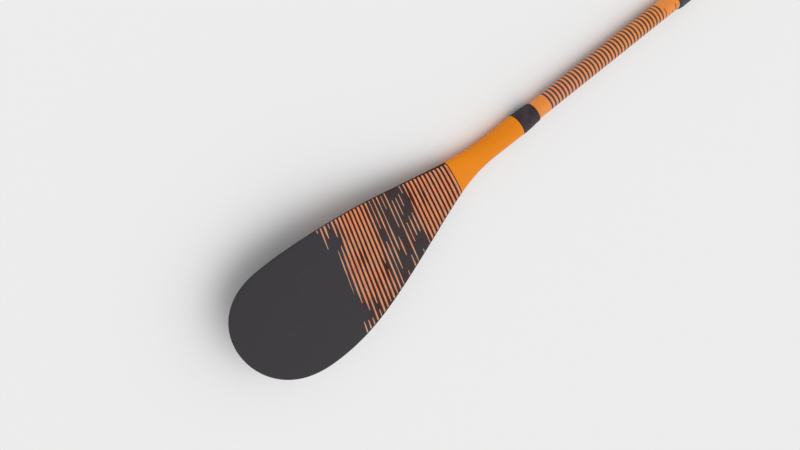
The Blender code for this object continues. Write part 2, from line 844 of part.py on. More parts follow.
def make_grip_screw():
    under_head = INNER_R + GAP
    profile = [
        (under_head + 1.4, 2.2),
        (under_head + 0.8, 3.4),
        (under_head, 3.6),
        (under_head, SCREW_R),
        (GRIP_SCREW_TIP + 0.3, SCREW_R),
        (GRIP_SCREW_TIP, SCREW_R - 0.3),
    ]
    screw = turned("grip_screw", profile, (), 20)
    screw.rotation_euler = (0, 0, 0)
    screw.location = Vector((GRIP_SCREW_X, 0, 0)) * MM
    place_part(screw, STEEL, EXTENSION_SLIDE)


make_blade()
make_collar()
make_lower_shaft()
make_ferrule()
make_snap_clip()
make_upper_shaft()
make_clamp()
make_bush()
make_lever()
make_tension_screw()
make_extension()
make_grip()
make_grip_screw()
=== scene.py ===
"""Looks of a three-section adjustable stand-up paddle that lies with its striped face up.

The shaft's axis is X. Sizes are in millimetres, measured from the mouth of the blade's neck:
x runs up the shaft to the grip, s runs the other way, down the blade to its tip.
"""

import math

import bmesh
import bpy
from mathutils import Matrix, Vector


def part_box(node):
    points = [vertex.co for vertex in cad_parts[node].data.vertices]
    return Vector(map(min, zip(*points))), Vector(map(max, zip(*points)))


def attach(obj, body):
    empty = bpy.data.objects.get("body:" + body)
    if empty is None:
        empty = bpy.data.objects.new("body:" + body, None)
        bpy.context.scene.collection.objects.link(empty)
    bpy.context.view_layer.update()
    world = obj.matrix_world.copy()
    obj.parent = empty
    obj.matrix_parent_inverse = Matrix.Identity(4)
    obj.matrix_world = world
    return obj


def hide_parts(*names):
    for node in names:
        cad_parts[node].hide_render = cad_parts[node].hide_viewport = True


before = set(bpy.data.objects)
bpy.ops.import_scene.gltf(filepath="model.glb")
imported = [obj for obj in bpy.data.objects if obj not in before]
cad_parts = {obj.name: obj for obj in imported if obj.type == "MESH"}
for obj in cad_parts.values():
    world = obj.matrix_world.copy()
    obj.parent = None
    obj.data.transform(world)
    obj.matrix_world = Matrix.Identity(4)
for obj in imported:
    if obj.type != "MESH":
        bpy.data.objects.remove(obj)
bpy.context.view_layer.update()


# Blade skins
# Two laminated half shells, the striped back and the spined power face. They are pressed in
# a heated mould, glued to a foam core and to each other at the rim, and lacquered orange
# where they close round the shaft as the neck.

MM = 0.001
GAP = 0.3
MOUTH_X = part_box("neck_collar")[0].x - GAP * MM
AXIS_Z = (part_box("lower_shaft")[0].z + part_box("lower_shaft")[1].z) / 2


def place(x, y, z):
    """A point given in millimetres from the middle of the neck's mouth."""
    return Vector((MOUTH_X + x * MM, y * MM, AXIS_Z + z * MM))


def along(node, end):
    """Where a node starts (end 0) or stops (end 1) on the shaft, in millimetres."""
    return (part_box(node)[end].x - MOUTH_X) / MM


def beside(node, end):
    """Where a node starts (end 0) or stops (end 1) across the blade, in millimetres."""
    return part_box(node)[end].y / MM


BLADE_END = -along("blade_back_skin", 0)
HALF_WIDTH = beside("blade_back_skin", 1)
WIDEST = 412.0
TIP_POWER = 2.6
NECK_MOUTH_R = 17.3
NECK_R = 16.7
NECK_END = 50.0
FLANK_START = 140.0
FLANK_HALF = 36.2
FLANK_SLOPE = 0.365
NECK_WALL = 1.8
BLADE_WALL = 1.1
FLANGE = 5.0
WALL_CHANGE = (60.0, 160.0)
EDGE_CHANGE = (60.0, 190.0)
BLADE_HALF_THICK = 4.2
TIP_HALF_THICK = 2.4
BACK_TRANSITION = (45.0, 185.0)
POWER_TRANSITION = (58.0, 215.0)
CANT = math.radians(7.8)
CANT_RUN = 90.0
TIP_CURL = math.radians(10.8)
CURL_START = 290.0
CURL_RUN = 160.0
SPINE_HEIGHT = 5.0
SPINE_HALF = 19.0
SPINE_START = 70.0
SPINE_FULL = 140.0
SPINE_FADE = 200.0


def ease(t):
    t = min(max(t, 0.0), 1.0)
    return t * t * (3 - 2 * t)


def eased(value, change):
    """0 before a change starts and 1 after it ends."""
    return ease((value - change[0]) / (change[1] - change[0]))


def hermite(t, length, start, start_slope, end, end_slope):
    bend = length * (t**3 - 2 * t**2 + t) * start_slope + length * (t**3 - t**2) * end_slope
    return start + (end - start) * ease(t) + bend


def tip_share(s):
    """0 as far as the widest place and 1 at the tip."""
    return min(max((s - WIDEST) / (BLADE_END - WIDEST), 0.0), 1.0)


def half_width(s):
    if s <= NECK_END:
        return NECK_MOUTH_R + (NECK_R - NECK_MOUTH_R) * s / NECK_END
    if s <= FLANK_START:
        length = FLANK_START - NECK_END
        return hermite((s - NECK_END) / length, length, NECK_R, 0, FLANK_HALF, FLANK_SLOPE)
    if s <= WIDEST:
        length = WIDEST - FLANK_START
        return hermite((s - FLANK_START) / length, length, FLANK_HALF, FLANK_SLOPE, HALF_WIDTH, 0)
    return HALF_WIDTH * math.sqrt(1 - tip_share(s) ** TIP_POWER)


def rise_of_middle():
    """Height of the blade's middle surface at every millimetre: canted, then curled back."""
    heights = [0.0]
    for step in range(int(BLADE_END) + 2):
        s = step + 0.5
        curl = TIP_CURL * ease((s - CURL_START) / CURL_RUN)
        heights.append(heights[-1] + math.tan(CANT * ease((s - NECK_END) / CANT_RUN) - curl))
    return heights


MIDDLE = rise_of_middle()


def middle(s):
    low = int(s)
    return MIDDLE[low] + (MIDDLE[low + 1] - MIDDLE[low]) * (s - low)


def half_thickness(s, change):
    thin = BLADE_HALF_THICK
    if s > change[1]:
        thin += (TIP_HALF_THICK - BLADE_HALF_THICK) * (s - change[1]) / (BLADE_END - change[1])
    share = eased(s, change)
    return half_width(min(s, NECK_END)) * (1 - share) + thin * share


def edge_fall(s, v):
    """1 in the middle of the section and 0 on the outline, with a full, rounded edge."""
    power = 2.0 + eased(s, EDGE_CHANGE)
    lost = tip_share(s) ** TIP_POWER
    around = math.sqrt(lost + v * v * (1 - lost))
    return max(1 - around**power, 0.0) ** (1 / power)


def spine(s, y):
    reach = min(SPINE_HALF, 0.6 * half_width(s))
    if abs(y) >= reach:
        return 0.0
    rise = eased(s, (SPINE_START, SPINE_FULL)) * (1 - ease((s - SPINE_FULL) / SPINE_FADE))
    return SPINE_HEIGHT * rise * math.cos(math.pi * y / (2 * reach)) ** 2


def face_height(s, v, y, inset, side):
    change = BACK_TRANSITION if side > 0 else POWER_TRANSITION
    drop = (half_thickness(s, change) - inset) * edge_fall(s, v)
    if side < 0:
        drop += spine(s, y)
    return middle(s) + side * (GAP / 2 + drop)


def blade_rows(neck_steps=46, flank_steps=60, tip_steps=44):
    rows = [FLANK_START * i / neck_steps for i in range(neck_steps)]
    rows += [FLANK_START + (WIDEST - FLANK_START) * i / flank_steps for i in range(flank_steps)]
    turns = [math.pi / 2 * i / tip_steps for i in range(tip_steps + 1)]
    return rows + [WIDEST + (BLADE_END - WIDEST) * math.sin(turn) for turn in turns]


def face_row(s, side, inward, inset, columns=34):
    """One row of a face, from edge to edge, with its places closer together at the edge."""
    tip = BLADE_END - inward
    at = s if s <= WIDEST else WIDEST + (s - WIDEST) * (tip - WIDEST) / (BLADE_END - WIDEST)
    half = half_width(s) - inward if s <= WIDEST else half_width(s) * (1 - inward / HALF_WIDTH)
    row = []
    for i in range(-columns, columns + 1):
        v = math.copysign(1 - (1 - abs(i) / columns) ** 2.4, i)
        row.append((-at, half * v, face_height(s, v, half * v, inset, side)))
    return row


def write_mesh(bm, mesh, smooth_angle):
    """Writes the working mesh out without double points and empty faces."""
    bmesh.ops.remove_doubles(bm, verts=bm.verts, dist=0.002 * MM)
    bmesh.ops.dissolve_degenerate(bm, edges=bm.edges, dist=0.002 * MM)
    bmesh.ops.recalc_face_normals(bm, faces=bm.faces)
    bm.to_mesh(mesh)
    bm.free()
    mesh.shade_smooth()
    mesh.set_sharp_from_angle(angle=math.radians(smooth_angle))


def linked(name, data):
    """A new object of the scene with this data."""
    obj = bpy.data.objects.new(name, data)
    bpy.context.scene.collection.objects.link(obj)
    return obj


def mesh_piece(name, bm, smooth_angle=40.0):
    """Turns the working mesh into an object whose place is in its mesh."""
    mesh = bpy.data.meshes.new(name)
    write_mesh(bm, mesh, smooth_angle)
    return linked(name, mesh)


def loft(name, rings):
    """Skin over closed rings of points, with its two ends capped."""
    bm = bmesh.new()
    grid = [[bm.verts.new(place(*point)) for point in ring] for ring in rings]
    width = len(rings[0])
    for near, far in zip(grid, grid[1:]):
        for j in range(width):
            k = (j + 1) % width
            bm.faces.new((near[j], near[k], far[k], far[j]))
    bm.faces.new(grid[0])
    bm.faces.new(grid[-1])
    return mesh_piece(name, bm)


def blade_shell(name, side):
    rings = []
    for s in blade_rows():
        share = eased(s, WALL_CHANGE)
        wall = NECK_WALL + (BLADE_WALL - NECK_WALL) * share
        flange = NECK_WALL + (FLANGE - NECK_WALL) * share
        rings.append(face_row(s, side, 0.0, 0.0) + face_row(s, side, flange, wall)[::-1])
    shell = loft(name, rings)
    to_edge = shell.data.attributes.new("to_edge", "FLOAT", "POINT")
    for vertex, value in zip(shell.data.vertices, to_edge.data):
        s = min(max((MOUTH_X - vertex.co.x) / MM, 0.0), BLADE_END)
        value.value = half_width(s) - abs(vertex.co.y) / MM
    return shell


class Wiring:
    """Adds nodes to one tree, and links or sets their inputs as they are made."""

    def __init__(self, tree):
        self.tree = tree
        self.count = 0

    def add(self, kind, inputs=None, **settings):
        node = self.tree.nodes.new(kind)
        node.location = (200 * (self.count % 12), -260 * (self.count // 12))
        self.count += 1
        for key, value in settings.items():
            setattr(node, key, value)
        for key, value in (inputs or {}).items():
            self.feed(node.inputs[key], value)
        return node

    def feed(self, socket, value):
        if isinstance(value, bpy.types.NodeSocket):
            self.tree.links.new(value, socket)
        else:
            socket.default_value = value

    def first(self, kind, inputs=None, **settings):
        """Adds a node and gives its first output."""
        return self.add(kind, inputs, **settings).outputs[0]

    def math(self, operation, *values):
        inputs = dict(enumerate(values))
        return self.first("ShaderNodeMath", inputs, operation=operation)

    def plus(self, first, second):
        return self.math("ADD", first, second)

    def minus(self, first, second):
        return self.math("SUBTRACT", first, second)

    def times(self, first, second):
        return self.math("MULTIPLY", first, second)

    def divide(self, first, second):
        return self.math("DIVIDE", first, second)

    def span(self, value, low, high, out_low=0.0, out_high=1.0):
        """Carries a value from one range to another, smoothly and without passing its ends."""
        inputs = {"Value": value, "From Min": low, "From Max": high}
        inputs.update({"To Min": out_low, "To Max": out_high})
        node = self.add("ShaderNodeMapRange", inputs, interpolation_type="SMOOTHSTEP")
        return node.outputs["Result"]

    def mix(self, share, low, high):
        return self.add("ShaderNodeMix", {0: share, 6: low, 7: high}, data_type="RGBA").outputs[2]

    def noise(self, vector, scale, detail=2.0, roughness=0.5):
        inputs = {"Vector": vector, "Scale": scale, "Detail": detail, "Roughness": roughness}
        return self.add("ShaderNodeTexNoise", inputs).outputs["Fac"]

    def vector(self, x=0.0, y=0.0, z=0.0):
        return self.first("ShaderNodeCombineXYZ", {"X": x, "Y": y, "Z": z})

    def group(self, tree, **inputs):
        named = {key.replace("_", " "): value for key, value in inputs.items()}
        return self.add("ShaderNodeGroup", named, node_tree=tree).outputs

    def bump(self, height, strength, distance_mm):
        inputs = {"Height": height, "Strength": strength, "Distance": distance_mm * MM}
        return self.first("ShaderNodeBump", inputs)


def shader_group(name, inputs, outputs):
    """An empty effect with named inputs and outputs: its tree, wiring, inputs and outputs."""
    tree = bpy.data.node_groups.new(name, "ShaderNodeTree")
    for label, value in inputs.items():
        kind = "NodeSocketVector" if value is None else "NodeSocketFloat"
        socket = tree.interface.new_socket(label, in_out="INPUT", socket_type=kind)
        if value is not None:
            socket.default_value = value
    for label in outputs:
        tree.interface.new_socket(label, in_out="OUTPUT", socket_type="NodeSocketFloat")
    wiring = Wiring(tree)
    given = wiring.add("NodeGroupInput").outputs
    result = wiring.add("NodeGroupOutput").inputs
    return tree, wiring, given, result


def new_material(name, roughness=0.5, metallic=0.0, **sockets):
    material = bpy.data.materials.new(name)
    material.use_nodes = True
    shader = material.node_tree.nodes["Principled BSDF"]
    shader.inputs["Roughness"].default_value = roughness
    shader.inputs["Metallic"].default_value = metallic
    for key, value in sockets.items():
        shader.inputs[key.replace("_", " ")].default_value = value
    wiring = Wiring(material.node_tree)
    coordinates = wiring.add("ShaderNodeTexCoord").outputs["Object"]
    return material, wiring, shader.inputs, coordinates


def coat(mesh, material):
    mesh.materials.clear()
    mesh.materials.append(material)


def give(obj, material, body, slot, *replaced):
    """Finishes a piece: its material, the body it moves with and the nodes it stands for."""
    coat(obj.data, material)
    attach(obj, body)
    if replaced:
        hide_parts(*replaced)
    return obj


def build_fine_grain():
    """Even, fine unevenness of a moulded or sprayed surface, with broad patches in its gloss."""
    inputs = {"Vector": None, "Size": 1.0, "Patch": 40.0}
    tree, wiring, given, result = shader_group("fine_grain", inputs, ("Height", "Gloss"))
    fine = wiring.divide(1 / MM, given["Size"])
    broad = wiring.divide(1 / MM, given["Patch"])
    wiring.feed(result["Height"], wiring.noise(given["Vector"], fine, 3.0, 0.6))
    wiring.feed(result["Gloss"], wiring.noise(given["Vector"], broad, 4.0, 0.6))
    return tree


def build_scuffs():
    """Fine straight scratches in two directions, gathered in patches."""
    inputs = {"Vector": None, "Amount": 0.3}
    tree, wiring, given, result = shader_group("scuffs", inputs, ("Mask",))
    marks = 0.0
    for turn, stretch in ((0.5, 900.0), (-0.9, 1400.0)):
        mapped = {"Vector": given["Vector"], "Rotation": (0, 0, turn), "Scale": (9, stretch, 200)}
        mapping = wiring.first("ShaderNodeMapping", mapped)
        scratch = wiring.span(wiring.noise(mapping, 1.0, 1.0), 0.70, 0.78)
        marks = wiring.math("MAXIMUM", marks, scratch)
    patch = wiring.span(wiring.noise(given["Vector"], 22.0, 3.0), 0.48, 0.66)
    mask = wiring.times(wiring.times(marks, patch), given["Amount"])
    wiring.feed(result["Mask"], mask)
    return tree


def build_printed_lines():
    """Printed lines of one pitch. Where Presence falls below 1 they break up into long and
    short dashes, some alone and some side by side, which are thinner towards their ends."""
    inputs = {
        "Along": 0.0, "Across": 0.0, "Pitch": 6.777, "Fill": 0.5, "Presence": 1.0, "Dash": 38.0,
        "Seed": 0.0,
    }
    tree, wiring, given, result = shader_group("printed_lines", inputs, ("Line",))
    turn = wiring.divide(given["Along"], given["Pitch"])
    number = wiring.math("FLOOR", turn)
    phase = wiring.math("ABSOLUTE", wiring.minus(wiring.math("FRACT", turn), 0.5))
    own = wiring.plus(wiring.times(number, 7.31), given["Seed"])
    shared = wiring.plus(wiring.times(number, 0.21), given["Seed"])
    place_in_dash = wiring.divide(given["Across"], given["Dash"])
    dashes = wiring.vector(place_in_dash, own)
    patches = wiring.vector(place_in_dash, shared, 5.0)
    alone = wiring.times(wiring.noise(dashes, 1.0, 0.0), 0.55)
    together = wiring.times(wiring.noise(patches, 1.0, 0.0), 0.45)
    limit = wiring.minus(0.75, wiring.times(given["Presence"], 0.48))
    over = wiring.minus(wiring.plus(alone, together), limit)
    printed = wiring.span(over, 0.0, 0.010)
    swell = wiring.span(over, 0.0, 0.16, 0.45, 1.0)
    half = wiring.times(wiring.times(given["Fill"], 0.5), swell)
    body = wiring.span(wiring.minus(half, phase), -0.03, 0.03)
    wiring.feed(result["Line"], wiring.times(body, printed))
    return tree


FINE_GRAIN = build_fine_grain()
SCUFFS = build_scuffs()
PRINTED_LINES = build_printed_lines()

ORANGE_LACQUER = (0.84, 0.256, 0.005, 1)
ORANGE_SHADE = (0.75, 0.212, 0.004, 1)
CHARCOAL = (0.043, 0.038, 0.044, 1)
CHARCOAL_DARK = (0.033, 0.030, 0.035, 1)
UMBER = (0.040, 0.008, 0.002, 1)
CORAL = (0.73, 0.235, 0.105, 1)
AMBER = (0.57, 0.325, 0.190, 1)
LINE_PITCH = 6.777
FIRST_LINE = 126.5
LAST_LINE = FIRST_LINE + 35 * LINE_PITCH
FAN_FOOT = 147.0
FAN_REACH = 935.0


def fanned(wiring, s, y):
    """The printed lines aim at one far point beside the neck, so they fan out a little."""
    opened = wiring.divide(FAN_REACH, wiring.minus(FAN_REACH, y))
    return wiring.plus(FAN_FOOT, wiring.times(wiring.minus(s, FAN_FOOT), opened))


def stretched_noise(wiring, along, length, y, width, seed):
    """Noise with patches of this length along the blade and this width across it."""
    spot = wiring.vector(wiring.divide(along, length), wiring.divide(y, width), seed)
    return wiring.noise(spot, 1.0)


def line_presence(wiring, along, y):
    """Whole lines next to the neck, a sparse stretch, a denser one, and few near the tip."""
    whole = wiring.span(along, 186.0, 214.0, 1.10, 0.63)
    far = wiring.math("ABSOLUTE", wiring.minus(along, 304.0))
    dense = wiring.span(far, 16.0, 38.0, 0.34, 0.0)
    dense = wiring.times(dense, wiring.span(y, -70.0, -10.0, 0.50, 1.0))
    fading = wiring.span(along, 334.0, 356.0, 0.0, 0.50)
    fading = wiring.times(fading, wiring.span(y, 94.0, 50.0, -0.5, 1.0))
    lower = wiring.span(y, 60.0, -70.0, 0.0, 0.06)
    lost = wiring.plus(fading, lower)
    return wiring.minus(wiring.plus(whole, dense), lost)


def blade_material(name, seed):
    material, wiring, shader, coordinates = new_material(name, Specular_IOR_Level=0.12)
    axes = wiring.add("ShaderNodeSeparateXYZ", {0: coordinates}).outputs
    s = wiring.divide(wiring.minus(MOUTH_X, axes["X"]), MM)
    y = wiring.divide(axes["Y"], MM)
    along = fanned(wiring, s, y)
    presence = line_presence(wiring, along, y)
    start = wiring.minus(along, FIRST_LINE)
    fill = wiring.span(presence, 0.50, 0.92, 0.32, 0.52)
    drawn = {"Along": start, "Across": y, "Fill": fill, "Presence": presence}
    lines = wiring.group(PRINTED_LINES, Pitch=LINE_PITCH, Dash=52.0, Seed=seed, **drawn)
    edge = wiring.add("ShaderNodeAttribute", attribute_name="to_edge").outputs["Fac"]
    # The lines stop 2.8 mm short of the outline on the -y side and 0.2 mm short on the +y side, and the
    # dark ground shows there: a thin rim of painted shade along the rounded edge.
    past_rim_shade = wiring.minus(edge, wiring.span(y, -12.0, 12.0, 2.8, 0.2))
    before_last = wiring.math("LESS_THAN", along, LAST_LINE)
    inside = wiring.times(before_last, wiring.span(past_rim_shade, 0.0, 0.5))
    streaks = stretched_noise(wiring, along, 2.2, y, 16.0, seed)
    inked = wiring.times(inside, wiring.span(streaks, 0.30, 0.55, 0.70, 1.0))
    line = wiring.times(lines["Line"], inked)
    grain = wiring.group(FINE_GRAIN, Vector=coordinates, Size=0.9, Patch=70.0)
    neck = wiring.math("LESS_THAN", along, FIRST_LINE)
    cloud = stretched_noise(wiring, s, 44.0, y, 30.0, seed)
    clouded = wiring.span(cloud, 0.42, 0.62, 0.0, 0.20)
    stain = wiring.plus(wiring.span(presence, 0.55, 0.90, 0.15, 0.95), clouded)
    stain = wiring.math("MINIMUM", stain, 0.95)
    stain = wiring.times(stain, wiring.span(along, 300.0, 352.0, 1.0, 0.0))
    ground = wiring.mix(stain, wiring.mix(grain["Gloss"], CHARCOAL_DARK, CHARCOAL), UMBER)
    clear = wiring.span(cloud, 0.60, 0.38, 0.0, 0.45)
    paler = wiring.plus(wiring.span(presence, 0.85, 0.45, 0.0, 0.55), clear)
    printed = wiring.mix(line, ground, wiring.mix(paler, CORAL, AMBER))
    lacquer = wiring.mix(grain["Gloss"], ORANGE_SHADE, ORANGE_LACQUER)
    colour = wiring.mix(neck, printed, lacquer)
    scuffs = wiring.group(SCUFFS, Vector=coordinates, Amount=0.4)["Mask"]
    wiring.feed(shader["Base Color"], wiring.mix(scuffs, colour, (0.16, 0.15, 0.15, 1)))
    satin = wiring.span(grain["Gloss"], 0.35, 0.65, 0.42, 0.54)
    glossy = wiring.times(wiring.math("MAXIMUM", neck, line), 0.10)
    roughness = wiring.minus(satin, glossy)
    wiring.feed(shader["Roughness"], wiring.plus(roughness, wiring.times(scuffs, 0.2)))
    ink_height = wiring.times(line, 0.5)
    height = wiring.plus(wiring.times(grain["Height"], 0.25), ink_height)
    wiring.feed(shader["Normal"], wiring.bump(height, 0.35, 0.06))
    return material


back_skin = blade_shell("striped_back_skin", 1)
power_skin = blade_shell("spined_power_skin", -1)
give(back_skin, blade_material("back_print", 77.0), "paddle", "back_laminate", "blade_back_skin")
give(power_skin, blade_material("power_print", 31.0), "paddle", "power_laminate", "blade_power_skin")


# Foam core and plugs
# Closed-cell foam: a core between the skins, and turned plugs that keep water out of the
# tubes. They are sealed inside, and keep the solids' own meshes.


def coat_node(node, material):
    """A solid that keeps its own mesh takes this finish."""
    coat(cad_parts[node].data, material)


def build_foam():
    material, wiring, shader, coordinates = new_material("closed_cell_foam", 0.9)
    cells = wiring.add("ShaderNodeTexVoronoi", {"Vector": coordinates, "Scale": 900.0})
    wall = wiring.span(cells.outputs["Distance"], 0.1, 0.6)
    wiring.feed(shader["Base Color"], wiring.mix(wall, (0.80, 0.79, 0.74, 1), (0.64, 0.62, 0.56, 1)))
    wiring.feed(shader["Normal"], wiring.bump(wall, 0.6, 0.3))
    return material


foam = build_foam()
for node in ("blade_core", "lower_shaft_plug", "ferrule_plug", "extension_plug"):
    coat_node(node, foam)


# Neck collar
# A tapered rubber sleeve, rolled over the mouth of the neck, that covers the glue line
# between neck and shaft. Its ends are lipped, with a shallow groove behind each lip.


def soften(points, radius, steps=3):
    """Rounds the corners of a closed outline of (a, b) points."""
    result = []
    for i, corner in enumerate(points):
        corner = Vector(corner)
        before = Vector(points[i - 1])
        after = Vector(points[(i + 1) % len(points)])
        reach = min(radius, (before - corner).length / 2.2, (after - corner).length / 2.2)
        start = corner + (before - corner).normalized() * reach
        end = corner + (after - corner).normalized() * reach
        for k in range(steps + 1):
            t = k / steps
            point = start * (1 - t) ** 2 + corner * 2 * t * (1 - t) + end * t**2
            result.append((point.x, point.y))
    return result


def turned(name, outline, around=96, centre=(0.0, 0.0), direction="X"):
    """Closed outline of (place along the axis, radius) points turned about an axis. centre is
    where the axis passes: (y, z) for an axis along X, (x, z) along Y and (x, y) along Z."""
    bm = bmesh.new()
    rings = []
    for i in range(around):
        turn = 2 * math.pi * i / around
        ring = []
        for reach, radius in outline:
            a = centre[0] + radius * math.cos(turn)
            b = centre[1] + radius * math.sin(turn)
            point = {"X": (reach, a, b), "Y": (a, reach, b), "Z": (a, b, reach)}[direction]
            ring.append(bm.verts.new(place(*point)))
        rings.append(ring)
    count = len(outline)
    for i in range(around):
        near, far = rings[i], rings[(i + 1) % around]
        for j in range(count):
            k = (j + 1) % count
            if outline[j][1] < 1e-6 and outline[k][1] < 1e-6:
                continue
            bm.faces.new((near[j], near[k], far[k], far[j]))
    return mesh_piece(name, bm)


def above(node, end):
    """Where a node starts (end 0) or stops (end 1) above the shaft's axis, in millimetres."""
    return (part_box(node)[end].z - AXIS_Z) / MM


SHAFT_R = above("upper_shaft", 1)


def build_rubber():
    material, wiring, shader, coordinates = new_material("collar_rubber", Specular_IOR_Level=0.25)
    grain = wiring.group(FINE_GRAIN, Vector=coordinates, Size=0.5, Patch=14.0)
    dust = wiring.span(grain["Gloss"], 0.40, 0.68)
    wiring.feed(shader["Base Color"], wiring.mix(dust, (0.026, 0.016, 0.023, 1), (0.048, 0.033, 0.043, 1)))
    wiring.feed(shader["Roughness"], wiring.span(grain["Gloss"], 0.3, 0.7, 0.44, 0.62))
    wiring.feed(shader["Normal"], wiring.bump(grain["Height"], 0.45, 0.12))
    return material


def collar_outline():
    start = along("neck_collar", 0)
    end = along("neck_collar", 1)
    radius = above("neck_collar", 1)
    bore = SHAFT_R + GAP
    body = [
        (start, bore),
        (start, radius - 0.25),
        (start + 2.6, radius),
        (start + 3.2, radius - 0.45),
        (start + 4.0, radius - 0.05),
        (start + 16, radius - 0.35),
        (end - 12, radius - 1.0),
        (end - 4.6, radius - 1.6),
        (end - 4.0, radius - 2.0),
        (end - 3.4, radius - 1.55),
        (end - 0.5, radius - 1.9),
        (end, bore + 0.2),
    ]
    return soften(body, 0.5)


collar = turned("neck_collar_sleeve", collar_outline())
give(collar, build_rubber(), "paddle", "collar_rubber", "neck_collar")


# Shaft tubes
# The lower shaft is glued into the neck and the upper shaft meets it at the snap joint. Both
# are wound glass tubes, lacquered orange and printed with dark rings, which thin out
# towards the snap joint. The button's hole is drilled through the lower one.


def settled_mesh(obj):
    """The mesh that an object has after its modifiers."""
    graph = bpy.context.evaluated_depsgraph_get()
    return bpy.data.meshes.new_from_object(obj.evaluated_get(graph))


def worked(obj, *steps):
    """Joins or cuts a piece with others, in turn, and uses them up."""
    for operation, other in steps:
        modifier = obj.modifiers.new(operation.lower(), "BOOLEAN")
        modifier.operation = operation
        modifier.solver = "EXACT"
        modifier.object = other
    mesh = settled_mesh(obj)
    obj.modifiers.clear()
    obj.data = mesh
    mesh.name = obj.name
    mesh.materials.clear()
    for _, other in steps:
        bpy.data.objects.remove(other, do_unlink=True)
    bm = bmesh.new()
    bm.from_mesh(mesh)
    write_mesh(bm, mesh, 35.0)
    return obj


def tube_outline(start, end, radius, bore, edge=0.35):
    return soften([(start, bore), (start, radius), (end, radius), (end, bore)], edge)


def round_tool(name, start, end, radius, centre, direction="Z", around=48):
    outline = [(start, 0.0), (start, radius), (end, radius), (end, 0.0)]
    return turned(name, outline, around, centre, direction)


TUBE_WALL = 1.5
SHAFT_BORE_R = SHAFT_R - TUBE_WALL
BUTTON_X = (along("snap_button", 0) + along("snap_button", 1)) / 2
BUTTON_HOLE_R = 4.65
RINGS_START = 56.6
RINGS_FADE = 190.0


def build_shaft_print():
    material, wiring, shader, coordinates = new_material("ringed_orange_lacquer", Coat_Weight=0.25)
    shader["Coat Roughness"].default_value = 0.2
    axes = wiring.add("ShaderNodeSeparateXYZ", {0: coordinates}).outputs
    x = wiring.divide(wiring.minus(axes["X"], MOUTH_X), MM)
    up = wiring.minus(axes["Z"], AXIS_Z)
    around = wiring.times(wiring.math("ARCTAN2", axes["Y"], up), SHAFT_R)
    begin = wiring.minus(x, RINGS_START)
    far = wiring.math("ABSOLUTE", wiring.minus(x, 500.0))
    presence = wiring.span(far, 500.0 - RINGS_FADE, 80.0, 1.2, -0.1)
    drawn = {"Along": begin, "Across": around, "Fill": 0.47, "Presence": presence}
    lines = wiring.group(PRINTED_LINES, Pitch=LINE_PITCH, Dash=45.0, Seed=4.0, **drawn)
    ringed = wiring.math("GREATER_THAN", begin, 0.0)
    line = wiring.times(lines["Line"], ringed)
    grain = wiring.group(FINE_GRAIN, Vector=coordinates, Size=0.8, Patch=50.0)
    lacquer = wiring.mix(grain["Gloss"], ORANGE_SHADE, ORANGE_LACQUER)
    paler = wiring.times(ringed, wiring.span(x, 330.0, 60.0, 0.0, 0.75))
    between = wiring.mix(paler, lacquer, CORAL)
    colour = wiring.mix(line, between, UMBER)
    scuffs = wiring.group(SCUFFS, Vector=coordinates, Amount=0.35)["Mask"]
    wiring.feed(shader["Base Color"], wiring.mix(scuffs, colour, (0.55, 0.36, 0.22, 1)))
    wiring.feed(shader["Roughness"], wiring.span(grain["Gloss"], 0.3, 0.7, 0.30, 0.44))
    height = wiring.plus(wiring.times(grain["Height"], 0.3), line)
    wiring.feed(shader["Normal"], wiring.bump(height, 0.3, 0.05))
    return material


shaft_print = build_shaft_print()
lower_outline = tube_outline(along("lower_shaft", 0), along("lower_shaft", 1), SHAFT_R, SHAFT_BORE_R)
button_drill = round_tool("button_drill", 0, 30, BUTTON_HOLE_R, (BUTTON_X, 0))
lower_shaft = worked(turned("ringed_lower_shaft", lower_outline), ("DIFFERENCE", button_drill))
give(lower_shaft, shaft_print, "paddle", "shaft_print", "lower_shaft")
upper_outline = tube_outline(along("upper_shaft", 0), along("upper_shaft", 1), SHAFT_R, SHAFT_BORE_R)
give(turned("ringed_upper_shaft", upper_outline), shaft_print, "paddle", "shaft_print", "upper_shaft")


# Snap joint
# A ferrule glued in the upper shaft slides in the lower one. A V-shaped spring clip in it
# pushes a domed button out through the tubes' hole, inside a thumb window in a ribbed
# nylon sleeve.


def tree_with_inputs(name, inputs):
    """An empty geometry tree with named inputs: the tree, its wiring, inputs and output."""
    tree = bpy.data.node_groups.new(name, "GeometryNodeTree")
    tree.interface.new_socket("Geometry", in_out="INPUT", socket_type="NodeSocketGeometry")
    kinds = {float: "NodeSocketFloat", int: "NodeSocketInt"}
    for label, value in inputs.items():
        kind = kinds.get(type(value), "NodeSocketMaterial")
        socket = tree.interface.new_socket(label, in_out="INPUT", socket_type=kind)
        if value is not None:
            socket.default_value = value
    tree.interface.new_socket("Geometry", in_out="OUTPUT", socket_type="NodeSocketGeometry")
    wiring = Wiring(tree)
    given = wiring.add("NodeGroupInput").outputs
    result = wiring.add("NodeGroupOutput").inputs
    return tree, wiring, given, result


def end_tree(wiring, geometry, material, result):
    real = wiring.first("GeometryNodeRealizeInstances", {0: geometry})
    smooth = wiring.first("GeometryNodeSetShadeSmooth", {"Geometry": real, "Shade Smooth": False})
    coated = wiring.first("GeometryNodeSetMaterial", {"Geometry": smooth, "Material": material})
    wiring.feed(result["Geometry"], coated)


def grown(name, tree, values, base=None):
    """Runs a geometry tree with these values and keeps what it makes as a plain mesh."""
    mesh = base.data.copy() if base else bpy.data.meshes.new(name)
    obj = linked(name, mesh)
    modifier = obj.modifiers.new(name, "NODES")
    modifier.node_group = tree
    for item in tree.interface.items_tree:
        if item.item_type == "SOCKET" and item.in_out == "INPUT" and item.name in values:
            modifier[item.identifier] = values[item.name]
    mesh = settled_mesh(obj)
    obj.modifiers.clear()
    obj.data = mesh
    mesh.name = name
    mesh.set_sharp_from_angle(angle=math.radians(40))
    return obj


